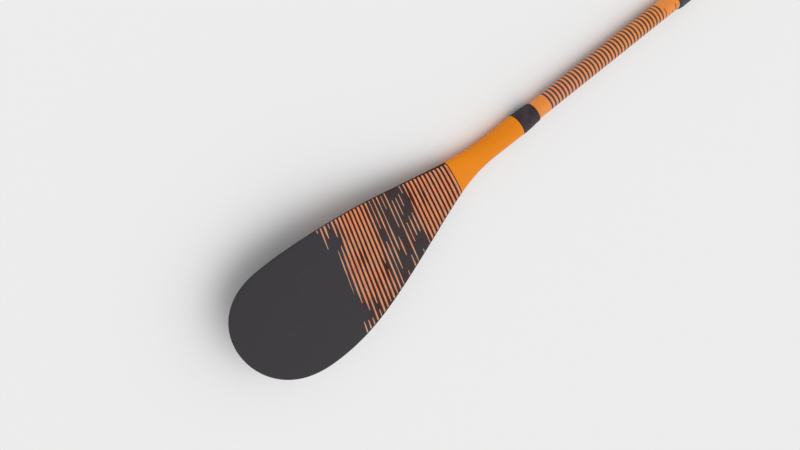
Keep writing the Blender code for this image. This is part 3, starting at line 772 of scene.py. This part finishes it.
def build_ring_ribs():
    """Rounded bars round part of a ring about the shaft's axis, each along the shaft."""
    inputs = {
        "Start": 0.0, "Length": 0.01, "Radius": 0.01, "Axis Height": 0.0, "Width": 0.001,
        "From": 0.0, "To": 1.0, "Count": 10, "Material": None,
    }
    tree, wiring, given, result = tree_with_inputs("ring_ribs", inputs)
    half = wiring.times(given["Width"], 0.5)
    line = wiring.first("GeometryNodeCurvePrimitiveLine", {
        "Start": wiring.vector(given["Start"], 0.0, 0.0),
        "End": wiring.vector(wiring.plus(given["Start"], given["Length"]), 0.0, 0.0),
    })
    profile = wiring.add("GeometryNodeCurvePrimitiveCircle", {"Resolution": 12, "Radius": half})
    bar = wiring.first("GeometryNodeCurveToMesh", {
        "Curve": line, "Profile Curve": profile.outputs[0], "Fill Caps": True,
    })
    last = wiring.minus(given["Count"], 1.0)
    points = wiring.first("GeometryNodeMeshLine", {"Count": given["Count"]})
    index = wiring.first("GeometryNodeInputIndex")
    share = wiring.divide(index, last)
    sweep = wiring.minus(given["To"], given["From"])
    turn = wiring.plus(given["From"], wiring.times(share, sweep))
    across = wiring.times(wiring.math("COSINE", turn), given["Radius"])
    up = wiring.times(wiring.math("SINE", turn), given["Radius"])
    spot = wiring.vector(0.0, across, wiring.plus(up, given["Axis Height"]))
    placed = wiring.first("GeometryNodeSetPosition", {"Geometry": points, "Position": spot})
    bars = wiring.first("GeometryNodeInstanceOnPoints", {"Points": placed, "Instance": bar})
    end_tree(wiring, bars, given["Material"], result)
    return tree


RING_RIBS = build_ring_ribs()


def ring_ribs(name, start, end, radius, width, turns, count, material):
    values = {
        "Start": place(start, 0, 0).x, "Length": (end - start) * MM, "Radius": radius * MM,
        "Axis Height": AXIS_Z, "Width": width * MM, "From": math.radians(turns[0]),
        "To": math.radians(turns[1]), "Count": count, "Material": material,
    }
    return grown(name, RING_RIBS, values)


def moulded(name, dark, pale, rough, size, depth, scuffed=0.5):
    """Moulded plastic: spark-eroded grain, gloss in patches and a few scratches."""
    material, wiring, shader, coordinates = new_material(name)
    grain = wiring.group(FINE_GRAIN, Vector=coordinates, Size=size, Patch=18.0)
    scuffs = wiring.group(SCUFFS, Vector=coordinates, Amount=scuffed)["Mask"]
    colour = wiring.mix(wiring.span(grain["Gloss"], 0.35, 0.65), dark, pale)
    lifted = tuple(min(1.0, 2.4 * part + 0.03) for part in pale[:3]) + (1,)
    wiring.feed(shader["Base Color"], wiring.mix(scuffs, colour, lifted))
    wiring.feed(shader["Roughness"], wiring.span(grain["Gloss"], 0.3, 0.7, rough - 0.08, rough + 0.08))
    wiring.feed(shader["Normal"], wiring.bump(grain["Height"], 0.5, depth))
    return material


def build_weave():
    """Clear-coated twill of black fibre, wrapped round the tube. Its pattern is painted sheen: each tow is
    paler along its crown, and the tows lying over are paler than those under.
    """
    material, wiring, shader, coordinates = new_material("twill_laminate", Coat_Weight=0.6)
    shader["Coat Roughness"].default_value = 0.12
    axes = wiring.add("ShaderNodeSeparateXYZ", {0: coordinates}).outputs
    up = wiring.minus(axes["Z"], AXIS_Z)
    tow = 2.2
    tows_around = 36
    angle = wiring.math("ARCTAN2", axes["Y"], up)
    round_way = wiring.times(angle, tows_around / (2 * math.pi))
    long_way = wiring.divide(axes["X"], tow * MM)
    step = wiring.plus(wiring.math("FLOOR", round_way), wiring.math("FLOOR", long_way))
    over = wiring.math("LESS_THAN", wiring.math("FLOORED_MODULO", step, 4.0), 1.5)
    warp = wiring.math("PINGPONG", wiring.math("FRACT", round_way), 0.5)
    weft = wiring.math("PINGPONG", wiring.math("FRACT", long_way), 0.5)
    crown = wiring.first("ShaderNodeMix", {0: over, 2: weft, 3: warp})
    # Painted sheen on black fibre: paler along each tow's crown and on the tows that lie over.
    painted_tow_sheen = wiring.plus(wiring.times(over, 0.45), wiring.times(crown, 0.8))
    wiring.feed(shader["Base Color"], wiring.mix(painted_tow_sheen, (0.010, 0.010, 0.011, 1), (0.055, 0.055, 0.058, 1)))
    wiring.feed(shader["Roughness"], wiring.span(painted_tow_sheen, 0.0, 0.9, 0.50, 0.30))
    wiring.feed(shader["Normal"], wiring.bump(crown, 0.25, 0.1))
    return material


def build_steel():
    material, wiring, shader, coordinates = new_material("brushed_stainless", 0.3, 1.0)
    mapped = {"Vector": coordinates, "Scale": (300.0, 9000.0, 9000.0)}
    brushed = wiring.noise(wiring.first("ShaderNodeMapping", mapped), 1.0, 3.0)
    stain = wiring.noise(coordinates, 240.0, 4.0)
    wiring.feed(shader["Base Color"], wiring.mix(stain, (0.50, 0.50, 0.51, 1), (0.68, 0.67, 0.66, 1)))
    wiring.feed(shader["Roughness"], wiring.span(brushed, 0.3, 0.7, 0.20, 0.38))
    wiring.feed(shader["Normal"], wiring.bump(brushed, 0.12, 0.02))
    return material


nylon = moulded("black_nylon", (0.016, 0.016, 0.017, 1), (0.030, 0.030, 0.032, 1), 0.5, 0.5, 0.1)
twill = build_weave()
steel = build_steel()

SLEEVE_START = along("joint_sleeve", 0)
SLEEVE_END = along("joint_sleeve", 1)
SLEEVE_R = beside("joint_sleeve", 1)
THUMB_WINDOW_R = 7.5
sleeve_bore = SHAFT_R + GAP
sleeve_outline = soften([
    (SLEEVE_START, sleeve_bore),
    (SLEEVE_START, sleeve_bore + 0.8),
    (SLEEVE_START + 3, SLEEVE_R),
    (SLEEVE_END, SLEEVE_R),
    (SLEEVE_END, sleeve_bore),
], 0.6)
window = round_tool("thumb_window", 0, 30, THUMB_WINDOW_R, (BUTTON_X, 0), around=64)
sleeve = worked(turned("snap_joint_sleeve", sleeve_outline), ("DIFFERENCE", window))
give(sleeve, nylon, "paddle", "black_nylon", "joint_sleeve")
sleeve_ribs = ring_ribs(
    "snap_joint_sleeve_ribs", SLEEVE_START + 6, SLEEVE_END - 4, SLEEVE_R - 0.1, 1.1, (128, 412), 30, nylon
)
give(sleeve_ribs, nylon, "paddle", "black_nylon")

coat_node("joint_ferrule", twill)
coat_node("ferrule_cap", nylon)
for node in ("clip_base_leaf", "clip_button_leaf"):
    coat_node(node, steel)

BUTTON_TOP = above("snap_button", 1)
BUTTON_FOOT = above("snap_button", 0)
BUTTON_R = beside("snap_button", 1)
DOME_HEIGHT = 1.7
DOME_WIDTH = 1.6
dome = [(BUTTON_TOP, 0.0)]
for i in range(1, 9):
    turn = math.pi / 2 * i / 8
    drop = DOME_HEIGHT * (1 - math.cos(turn))
    dome.append((BUTTON_TOP - drop, BUTTON_R - DOME_WIDTH + DOME_WIDTH * math.sin(turn)))
button_outline = dome + [(BUTTON_FOOT, BUTTON_R), (BUTTON_FOOT, 0.0)]
button = turned("domed_snap_button", button_outline, 48, (BUTTON_X, 0), "Z")
give(button, steel, "snap_clip", "stainless", "snap_button")


# Clamp
# A moulded nylon ring on the mouth of the upper shaft, split on top between two lugs, with a
# slippery split bush inside. It tightens on the extension when the lugs are drawn together.

CLAMP_START = along("clamp_body", 0)
CLAMP_END = along("clamp_body", 1)
UPPER_END = along("upper_shaft", 1)
CLAMP_R = 18.5
CLAMP_BORE_R = 16.0
LUG_HALF = 8.2
LUG_TOP = above("clamp_body", 1)
FLAT = AXIS_Z / MM
SLIT_HALF = 1.5
SLIT_FOOT = 8.0
BUSH_LIP_R = 17.0
KEY_HALF = 1.2
KEY_FOOT = -13.2
KEY_TOP = -12.05
SCREW_X = (along("screw_washer", 0) + along("screw_washer", 1)) / 2
SCREW_Z = ((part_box("screw_washer")[0].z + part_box("screw_washer")[1].z) / 2 - AXIS_Z) / MM
SCREW_R = 2.0


def solid_box(name, low, high, rounded=0.0):
    bm = bmesh.new()
    bmesh.ops.create_cube(bm, size=1.0)
    low, high = place(*low), place(*high)
    for vertex in bm.verts:
        share = vertex.co + Vector((0.5, 0.5, 0.5))
        vertex.co = Vector(a + (b - a) * t for a, b, t in zip(low, high, share))
    if rounded:
        bmesh.ops.bevel(
            bm, geom=bm.edges, offset=rounded * MM, segments=4, profile=0.5, affect="EDGES"
        )
    return mesh_piece(name, bm)


def screw_drill():
    return round_tool("screw_drill", -20, 40, SCREW_R + GAP, (SCREW_X, SCREW_Z), "Y", 32)


def build_clamp():
    bore = SHAFT_R + GAP
    outline = [
        (CLAMP_START, bore),
        (CLAMP_START, bore + 1.2),
        (CLAMP_START + 3, CLAMP_R),
        (CLAMP_END, CLAMP_R),
        (CLAMP_END, CLAMP_BORE_R),
        (UPPER_END + GAP, CLAMP_BORE_R),
        (UPPER_END + GAP, bore),
    ]
    body = turned("split_clamp", soften(outline, 0.9), 128)
    lug_low = (UPPER_END, -LUG_HALF, CLAMP_BORE_R + 0.25)
    lugs = solid_box("clamp_lugs", lug_low, (CLAMP_END - 2, LUG_HALF, LUG_TOP), 2.2)
    slit_low = (UPPER_END - 1.6, -SLIT_HALF, SLIT_FOOT)
    slit = solid_box("clamp_slit", slit_low, (CLAMP_END + 3, SLIT_HALF, LUG_TOP + 4))
    under = solid_box("clamp_under", (CLAMP_START - 5, -20, -30), (CLAMP_END + 5, 20, -FLAT))
    cuts = (slit, screw_drill(), under)
    return worked(body, ("UNION", lugs), *(("DIFFERENCE", cut) for cut in cuts))


def build_bush():
    low = along("clamp_bush", 0)
    end = along("clamp_bush", 1)
    lip = CLAMP_END + GAP
    outline = [
        (low, SHAFT_BORE_R),
        (low, CLAMP_BORE_R - GAP),
        (lip, CLAMP_BORE_R - GAP),
        (lip, BUSH_LIP_R),
        (end, BUSH_LIP_R),
        (end, SHAFT_BORE_R),
    ]
    body = turned("split_bush", soften(outline, 0.35), 96)
    key = solid_box("bush_key", (low + 0.5, -KEY_HALF, KEY_FOOT), (end - 0.5, KEY_HALF, KEY_TOP))
    slit = solid_box("bush_slit", (low - 3, -SLIT_HALF, SLIT_FOOT), (end + 3, SLIT_HALF, 20))
    return worked(body, ("UNION", key), ("DIFFERENCE", slit))


acetal = moulded("bush_acetal", (0.42, 0.42, 0.41, 1), (0.52, 0.52, 0.50, 1), 0.42, 0.7, 0.05)
give(build_clamp(), nylon, "paddle", "black_nylon", "clamp_body")
give(build_bush(), acetal, "paddle", "bush_acetal", "clamp_bush")
clamp_ribs = ring_ribs(
    "split_clamp_ribs", CLAMP_START + 7, CLAMP_END - 4, CLAMP_R - 0.15, 1.2, (122, 236), 16, nylon
)
give(clamp_ribs, nylon, "paddle", "black_nylon")


# Cam lever
# A moulded lever that hugs the clamp's ring. The cam at its head turns on a cross pin and
# pulls the tension screw. Its tail flares away from the ring, with ribs for the finger.

LEVER_START = along("cam_lever", 0)
LEVER_END = along("cam_lever", 1)
PIVOT_Y = 15.0
PIN_R = 2.6
CAM_REACH = 5.4
LEVER_IN_R = 19.2
LEVER_OUT_R = 22.8


def polar(radius, degrees, centre=(0.0, 0.0)):
    turn = math.radians(degrees)
    return (centre[0] + radius * math.cos(turn), centre[1] + radius * math.sin(turn))


def lever_outline():
    """Section of the lever in (y, z): the cam, the back of the arm, its tail, its inside."""
    pivot = (PIVOT_Y, SCREW_Z)
    points = [polar(CAM_REACH - 0.9 * i / 16, 180 - 7.5 * i, pivot) for i in range(17)]
    points += [polar(5.2, 35, pivot), polar(6.0, 5, pivot), polar(6.6, -25, pivot)]
    for i in range(25):
        degrees = 36 - 76 * i / 24
        points.append(polar(LEVER_OUT_R + 1.9 * ease((-degrees - 14) / 26), degrees))
    points.append(polar(LEVER_IN_R + 3.8, -42))
    for i in range(25):
        degrees = -40 + 98 * i / 24
        points.append(polar(LEVER_IN_R + 2.2 * ease((-degrees - 14) / 26), degrees))
    points.append((PIVOT_Y - CAM_REACH, 17.0))
    return points


def build_lever():
    bm = bmesh.new()
    face = bm.faces.new([bm.verts.new(place(LEVER_START, y, z)) for y, z in lever_outline()])
    far = bmesh.ops.extrude_face_region(bm, geom=[face])["geom"]
    moved = [item for item in far if isinstance(item, bmesh.types.BMVert)]
    bmesh.ops.translate(bm, vec=((LEVER_END - LEVER_START) * MM, 0, 0), verts=moved)
    bmesh.ops.recalc_face_normals(bm, faces=bm.faces)
    rims = [edge for edge in bm.edges if any(len(f.verts) > 8 for f in edge.link_faces)]
    bmesh.ops.bevel(bm, geom=rims, offset=0.7 * MM, segments=3, profile=0.5, affect="EDGES")
    body = mesh_piece("hugging_cam_lever", bm, 35)
    pin = round_tool("pin_bore", LEVER_START - 3, LEVER_END + 3, PIN_R + GAP, (PIVOT_Y, SCREW_Z), "X")
    low = (SCREW_X - SCREW_R - 0.6, 0, SCREW_Z - PIN_R)
    slot = solid_box("lever_slot", low, (SCREW_X + SCREW_R + 0.6, 40, 45))
    return worked(body, ("DIFFERENCE", pin), ("DIFFERENCE", slot))


lever_nylon = moulded("lever_nylon", (0.020, 0.020, 0.022, 1), (0.034, 0.034, 0.037, 1), 0.38, 0.8, 0.05)
give(build_lever(), lever_nylon, "lever", "lever_nylon", "cam_lever")
lever_ribs = ring_ribs(
    "hugging_cam_lever_ribs", LEVER_START + 2, LEVER_END - 2, LEVER_OUT_R + 0.8, 1.5, (-30, -12), 5,
    lever_nylon,
)
give(lever_ribs, lever_nylon, "lever", "lever_nylon")


# Pin, tension screw and washers
# Stainless hardware: a cross pin tapped for the screw, a socket-head screw through both lugs,
# a washer under its head, and a wear washer that the cam bears on.

SCREW_HEAD_R = 3.8
SOCKET_R = 1.9


def build_pin():
    outline = soften([
        (LEVER_START + 0.6, 0.0),
        (LEVER_START + 0.6, PIN_R),
        (LEVER_END - 0.6, PIN_R),
        (LEVER_END - 0.6, 0.0),
    ], 0.5)
    pin = turned("tapped_cross_pin", outline, 48, (PIVOT_Y, SCREW_Z))
    return worked(pin, ("DIFFERENCE", screw_drill()))


def build_screw():
    under = beside("screw_washer", 0) - GAP
    tip = beside("tension_screw", 1)
    head = beside("tension_screw", 0)
    outline = [(tip, 0.0), (tip, SCREW_R - 0.4), (tip - 0.4, SCREW_R)]
    outline += [(under, SCREW_R), (under, SCREW_HEAD_R), (head + 0.4, SCREW_HEAD_R)]
    outline += [(head, SCREW_HEAD_R - 0.4), (head, 0.0)]
    screw = turned("socket_head_screw", outline, 48, (SCREW_X, SCREW_Z), "Y")
    socket = round_tool("hex_socket", head - 2, head + 2.2, SOCKET_R, (SCREW_X, SCREW_Z), "Y", 6)
    return worked(screw, ("DIFFERENCE", socket))


def build_washer(name, node):
    radius = (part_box(node)[1].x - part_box(node)[0].x) / 2 / MM
    outline = tube_outline(beside(node, 0), beside(node, 1), radius, SCREW_R + GAP, 0.15)
    return turned(name, outline, 48, (SCREW_X, SCREW_Z), "Y")


give(build_pin(), steel, "paddle", "stainless", "lever_pin")
give(build_screw(), steel, "paddle", "stainless", "tension_screw")
give(build_washer("head_washer", "screw_washer"), steel, "paddle", "stainless", "screw_washer")
give(build_washer("wear_washer", "cam_washer"), steel, "paddle", "stainless", "cam_washer")


# Extension tube
# The inner tube slides in the clamp. Twill laminate with a keyway along its underside and a
# printed scale on top: the paddle's whole length in centimetres, read at the clamp's mouth.

TUBE_START = along("extension_tube", 0)
TUBE_END = along("extension_tube", 1)
TUBE_R = above("extension_tube", 1)
TUBE_BORE_R = TUBE_R - TUBE_WALL
KEYWAY_HALF = 1.5
KEYWAY_DEPTH = 1.0
KEYWAY_END = 1060.0
GRIP_SCREW_X = 1080.0
REST_LENGTH = (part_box("grip_cover")[1].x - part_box("blade_back_skin")[0].x) / MM
READ_AT = along("clamp_bush", 1)


def grip_screw_drill():
    return round_tool("grip_screw_drill", 2.5, 22, SCREW_R + GAP, (GRIP_SCREW_X, 0), around=32)


def build_extension():
    body = turned("scaled_extension_tube", tube_outline(TUBE_START, TUBE_END, TUBE_R, TUBE_BORE_R))
    low = (TUBE_START - 5, -KEYWAY_HALF, -15)
    groove = solid_box("keyway", low, (KEYWAY_END, KEYWAY_HALF, KEYWAY_DEPTH - TUBE_R))
    return worked(body, ("DIFFERENCE", groove), ("DIFFERENCE", grip_screw_drill()))


def mark_place(centimetres):
    """Where on the tube the mark for this whole length lies, with the paddle at its shortest."""
    return READ_AT - (centimetres * 10 - REST_LENGTH)


def build_scale_marks():
    """A row of thin printed arcs across the top of a tube."""
    inputs = {
        "Start": 0.0, "Pitch": 0.01, "Radius": 0.01, "Axis Height": 0.0,
        "Half Turn": 0.2, "Width": 0.0006, "Ink": 0.00006, "Count": 10, "Material": None,
    }
    tree, wiring, given, result = tree_with_inputs("scale_marks", inputs)
    first = wiring.minus(math.pi / 2, given["Half Turn"])
    sweep = wiring.times(given["Half Turn"], 2.0)
    arc = wiring.first("GeometryNodeCurveArc", {
        "Resolution": 9, "Radius": given["Radius"], "Start Angle": first, "Sweep Angle": sweep,
    })
    ink = wiring.first("GeometryNodeCurvePrimitiveQuadrilateral", {
        "Width": given["Ink"], "Height": given["Width"],
    })
    strip = wiring.first("GeometryNodeCurveToMesh", {
        "Curve": arc, "Profile Curve": ink, "Fill Caps": True,
    })
    step = wiring.vector(given["Pitch"], 0.0, 0.0)
    begin = wiring.vector(given["Start"], 0.0, given["Axis Height"])
    line = {"Count": given["Count"], "Start Location": begin, "Offset": step}
    points = wiring.first("GeometryNodeMeshLine", line)
    marks = wiring.first("GeometryNodeInstanceOnPoints", {
        "Points": points, "Instance": strip, "Rotation": (math.pi / 2, 0.0, math.pi / 2),
    })
    end_tree(wiring, marks, given["Material"], result)
    return tree


def scale_marks(name, first, last, step, half_turn, material):
    values = {
        "Start": place(mark_place(first), 0, 0).x, "Pitch": -step * 10 * MM,
        "Radius": (TUBE_R + 0.02) * MM, "Axis Height": AXIS_Z, "Half Turn": half_turn,
        "Count": int((last - first) / step) + 1, "Material": material,
    }
    return grown(name, SCALE_MARKS, values)


def scale_number(centimetres, size=4.4):
    """A number printed beside its long mark, bent round the tube."""
    text = bpy.data.curves.new(f"number_{centimetres}", "FONT")
    text.body = str(centimetres)
    text.size = size * MM
    text.align_x = "LEFT"
    text.align_y = "CENTER"
    text.extrude = 0.03 * MM
    drawn = linked(text.name, text)
    mesh = settled_mesh(drawn)
    bpy.data.objects.remove(drawn, do_unlink=True)
    bm = bmesh.new()
    bm.from_mesh(mesh)
    for step in range(-4, 5):
        everything = bm.verts[:] + bm.edges[:] + bm.faces[:]
        height = (0.0, step * 0.7 * MM, 0.0)
        bmesh.ops.bisect_plane(bm, geom=everything, plane_co=height, plane_no=(0, 1, 0))
    for vertex in bm.verts:
        radius = TUBE_R * MM + 0.03 * MM + vertex.co.z
        turn = vertex.co.y / radius
        x = place(mark_place(centimetres) + 1.6, 0, 0).x + vertex.co.x
        vertex.co = Vector((x, radius * math.sin(turn), AXIS_Z + radius * math.cos(turn)))
    bm.to_mesh(mesh)
    bm.free()
    return mesh


def scale_numbers(name, values):
    bm = bmesh.new()
    for value in values:
        mesh = scale_number(value)
        bm.from_mesh(mesh)
        bpy.data.meshes.remove(mesh)
    return mesh_piece(name, bm, 30)


def build_ink():
    material, wiring, shader, coordinates = new_material("white_scale_ink", 0.5)
    worn = wiring.span(wiring.noise(coordinates, 900.0, 4.0, 0.7), 0.30, 0.60)
    wiring.feed(shader["Base Color"], wiring.mix(worn, (0.52, 0.52, 0.50, 1), (0.78, 0.78, 0.76, 1)))
    return material


SCALE_MARKS = build_scale_marks()
SHORTEST = 170
LONGEST = 205
white_ink = build_ink()
give(build_extension(), twill, "extension", "dark_laminate", "extension_tube")
short_marks = scale_marks("centimetre_marks", SHORTEST, LONGEST + 2, 1, 0.22, white_ink)
give(short_marks, white_ink, "extension", "bush_acetal")
long_marks = scale_marks("five_centimetre_marks", SHORTEST, LONGEST, 5, 0.46, white_ink)
give(long_marks, white_ink, "extension", "bush_acetal")
numbers = scale_numbers("scale_numbers", range(SHORTEST + 5, LONGEST + 1, 5))
give(numbers, white_ink, "extension", "bush_acetal")
coat_node("extension_guide", acetal)


# Palm grip
# A hard nylon core whose spigot is screwed into the tube, with a soft cover moulded over the
# palm. The cover is dotted on both faces so that a wet hand doesn't slip.

GRIP_END = along("grip_cover", 1)
GRIP_HALF = beside("grip_cover", 1)
GRIP_HALF_THICK = above("grip_cover", 1)
GRIP_NECK_R = 14.3
GRIP_NECK_END = 1108.0
GRIP_WIDEST = 1150.0
COVER_START = along("grip_cover", 0)
COVER = 2.2


def grip_size(x):
    """Half width, half thickness and squareness of the grip's section."""
    spread = eased(x, (GRIP_NECK_END, GRIP_WIDEST - 4))
    half = GRIP_NECK_R + (GRIP_HALF - GRIP_NECK_R) * spread
    swell = eased(x, (GRIP_NECK_END + 7, GRIP_WIDEST))
    thick = GRIP_NECK_R + (GRIP_HALF_THICK - GRIP_NECK_R) * swell
    if x > GRIP_WIDEST:
        share = min((x - GRIP_WIDEST) / (GRIP_END - GRIP_WIDEST), 1.0)
        half *= (1 - share**2.4) ** 0.42
        thick *= (1 - share**2.2) ** 0.5
    return half, thick, 2.0 + 0.5 * spread


def grip_ring(x, inset, around=96):
    top = GRIP_END - inset
    if inset and x > GRIP_WIDEST:
        scaled = GRIP_WIDEST + (x - GRIP_WIDEST) * (GRIP_END - GRIP_WIDEST) / (top - GRIP_WIDEST)
        half, thick, power = grip_size(min(scaled, GRIP_END))
        half *= 1 - inset / GRIP_HALF
        thick *= 1 - inset / GRIP_HALF_THICK
    else:
        half, thick, power = grip_size(x)
        half -= inset
        thick -= inset
    ring = []
    for i in range(around):
        turn = 2 * math.pi * i / around
        across = math.copysign(abs(math.cos(turn)) ** (2 / power), math.cos(turn))
        up = math.copysign(abs(math.sin(turn)) ** (2 / power), math.sin(turn))
        ring.append((x, half * across, thick * up))
    return ring


def grip_top(inset, steps=26):
    top = GRIP_END - inset
    places = [COVER_START + (GRIP_WIDEST - COVER_START) * i / 5 for i in range(5)]
    for i in range(steps + 1):
        turn = min(math.pi / 2 * i / steps, math.radians(89.2))
        places.append(GRIP_WIDEST + (top - GRIP_WIDEST) * math.sin(turn))
    return places


def build_grip_core():
    start = along("extension_tube", 1) + GAP
    step = COVER_START - GAP
    lower = [start + 0.8 + (step - start - 0.8) * i / 24 for i in range(25)]
    rings = [[(start, y * 0.96, z * 0.96) for _, y, z in grip_ring(start, 0.0)]]
    rings += [grip_ring(x, 0.0) for x in lower]
    rings.append(grip_ring(step, COVER + GAP))
    rings += [grip_ring(x, COVER + GAP) for x in grip_top(COVER + GAP)]
    core = loft("grip_core_and_spigot", rings)
    spigot = round_tool("grip_spigot", KEYWAY_END, start + 5, TUBE_BORE_R - GAP, (0, 0), "X", 64)
    return worked(core, ("UNION", spigot), ("DIFFERENCE", grip_screw_drill()))


DOT_R = 0.8
DOT_HEIGHT = 0.45 * DOT_R


def build_grip_cover():
    outer = [grip_ring(x, DOT_HEIGHT) for x in grip_top(DOT_HEIGHT)]
    inner = [grip_ring(x, COVER) for x in grip_top(COVER)]
    return loft("soft_grip_cover", inner[::-1] + outer)


def build_palm_dots():
    """Low domes in staggered rows, dropped straight onto a surface from above or below."""
    inputs = {
        "Start": 0.0, "Rows": 5, "Columns": 9, "Pitch": 0.004, "Dot": 0.001, "Side": 1.0,
        "Axis Height": 0.0, "Material": None,
    }
    tree, wiring, given, result = tree_with_inputs("palm_dots", inputs)
    rows, columns = given["Rows"], given["Columns"]
    count = wiring.times(rows, columns)
    points = wiring.first("GeometryNodeMeshLine", {"Count": count})
    index = wiring.first("GeometryNodeInputIndex")
    row = wiring.math("FLOOR", wiring.divide(index, columns))
    column = wiring.math("FLOORED_MODULO", index, columns)
    stagger = wiring.times(wiring.math("FLOORED_MODULO", row, 2.0), 0.5)
    middle_column = wiring.times(wiring.minus(columns, 0.5), 0.5)
    offset = wiring.minus(wiring.plus(column, stagger), middle_column)
    y = wiring.times(offset, given["Pitch"])
    x = wiring.plus(given["Start"], wiring.times(row, given["Pitch"]))
    drop = wiring.plus(given["Axis Height"], wiring.times(given["Side"], 0.05))
    spot = wiring.vector(x, y, drop)
    down = wiring.vector(0.0, 0.0, wiring.times(given["Side"], -1.0))
    ray = wiring.add("GeometryNodeRaycast", {
        "Target Geometry": given["Geometry"], "Source Position": spot, "Ray Direction": down,
        "Ray Length": 0.1,
    })
    landed = wiring.first("GeometryNodeSetPosition", {
        "Geometry": points, "Position": ray.outputs["Hit Position"],
    })
    turned_up = wiring.first(
        "FunctionNodeAlignRotationToVector", {"Vector": ray.outputs["Hit Normal"]}, axis="Z"
    )
    ball = wiring.add("GeometryNodeMeshUVSphere", {"Segments": 12, "Rings": 8, "Radius": given["Dot"]})
    dots = wiring.first("GeometryNodeInstanceOnPoints", {
        "Points": landed, "Instance": ball.outputs[0], "Rotation": turned_up,
        "Scale": (1.0, 1.0, DOT_HEIGHT / DOT_R), "Selection": ray.outputs["Is Hit"],
    })
    end_tree(wiring, dots, given["Material"], result)
    return tree


def build_grip_screw():
    under = TUBE_R + GAP
    outline = [(3.4, 0.0), (3.4, SCREW_R - 0.3), (3.7, SCREW_R), (under, SCREW_R), (under, 3.6)]
    outline += [(under + 0.8, 3.4), (under + 1.4, 2.2), (under + 1.4, 0.0)]
    steps = []
    for long, wide in ((1.6, 0.3), (0.3, 1.6)):
        low = (GRIP_SCREW_X - long, -wide, under + 0.6)
        slot = solid_box("cross_slot", low, (GRIP_SCREW_X + long, wide, under + 4))
        steps.append(("DIFFERENCE", slot))
    return worked(turned("domed_grip_screw", outline, 48, (GRIP_SCREW_X, 0), "Z"), *steps)


soft_rubber = moulded(
    "soft_grip", (0.036, 0.036, 0.040, 1), (0.052, 0.052, 0.057, 1), 0.78, 0.35, 0.12, 0.05
)
give(build_grip_core(), nylon, "extension", "black_nylon", "grip_core")
cover = build_grip_cover()
PALM_DOTS = build_palm_dots()
for side, label in ((1.0, "top"), (-1.0, "under")):
    values = {
        "Start": place(GRIP_WIDEST - 4, 0, 0).x, "Rows": 7, "Columns": 21, "Pitch": 3.5 * MM,
        "Dot": DOT_R * MM, "Side": side, "Axis Height": AXIS_Z, "Material": soft_rubber,
    }
    dots = grown(f"palm_dots_{label}", PALM_DOTS, values, cover)
    give(dots, soft_rubber, "extension", "soft_grip")
give(cover, soft_rubber, "extension", "soft_grip", "grip_cover")
give(build_grip_screw(), steel, "extension", "stainless", "grip_screw")


# Studio
# A plain pale floor, a soft sun from above and an even pale sky, at the level where a colour
# renders about as it is written, and the camera at the photograph's viewing angle.

FLOOR_PALE = (0.831, 0.831, 0.831, 1)


def build_floor():
    bm = bmesh.new()
    bmesh.ops.create_grid(bm, x_segments=2, y_segments=2, size=12.0)
    floor = mesh_piece("studio_floor", bm)
    material, _, shader, _ = new_material("studio_floor", 1.0, Specular_IOR_Level=0.0)
    shader["Base Color"].default_value = FLOOR_PALE
    coat(floor.data, material)
    floor.location.z = -0.0004


def build_lights():
    world = bpy.data.worlds.new("pale_sky")
    bpy.context.scene.world = world
    world.use_nodes = True
    wiring = Wiring(world.node_tree)
    sky = world.node_tree.nodes["Background"]
    sky.inputs["Color"].default_value = (1, 1, 1, 1)
    sky.inputs["Strength"].default_value = 0.84
    backdrop = wiring.first("ShaderNodeBackground", {"Color": FLOOR_PALE, "Strength": 1.0})
    rays = wiring.add("ShaderNodeLightPath").outputs
    looked_at = wiring.math("MAXIMUM", rays["Is Camera Ray"], rays["Is Glossy Ray"])
    looked_at = wiring.math("MAXIMUM", looked_at, rays["Is Transmission Ray"])
    mixed = wiring.first("ShaderNodeMixShader", {0: looked_at, 1: sky.outputs[0], 2: backdrop})
    wiring.feed(world.node_tree.nodes["World Output"].inputs["Surface"], mixed)
    lamp = bpy.data.lights.new("soft_sun", "SUN")
    lamp.energy = 0.58
    lamp.angle = math.radians(80)
    sun = linked("soft_sun", lamp)
    sun.rotation_euler = Vector((0.15, -0.30, 1.0)).to_track_quat("Z", "Y").to_euler()


def build_camera():
    """The photograph was taken from above and beside the blade, with the camera rolled."""
    right = Vector((0.77100, -0.38877, 0.50440))
    down = Vector((-0.61554, -0.65806, 0.43366))
    ahead = Vector((0.16333, -0.64483, -0.74667))
    camera = linked("camera", bpy.data.cameras.new("camera"))
    camera.data.lens = 35.71
    camera.data.sensor_width = 36.0
    turn = Matrix((right, -down, -ahead)).transposed().to_4x4()
    camera.matrix_world = Matrix.Translation(place(-417.94, 732.11, 859.63)) @ turn
    bpy.context.scene.camera = camera


build_floor()
build_lights()
build_camera()
bpy.context.scene.view_settings.view_transform = "Standard"
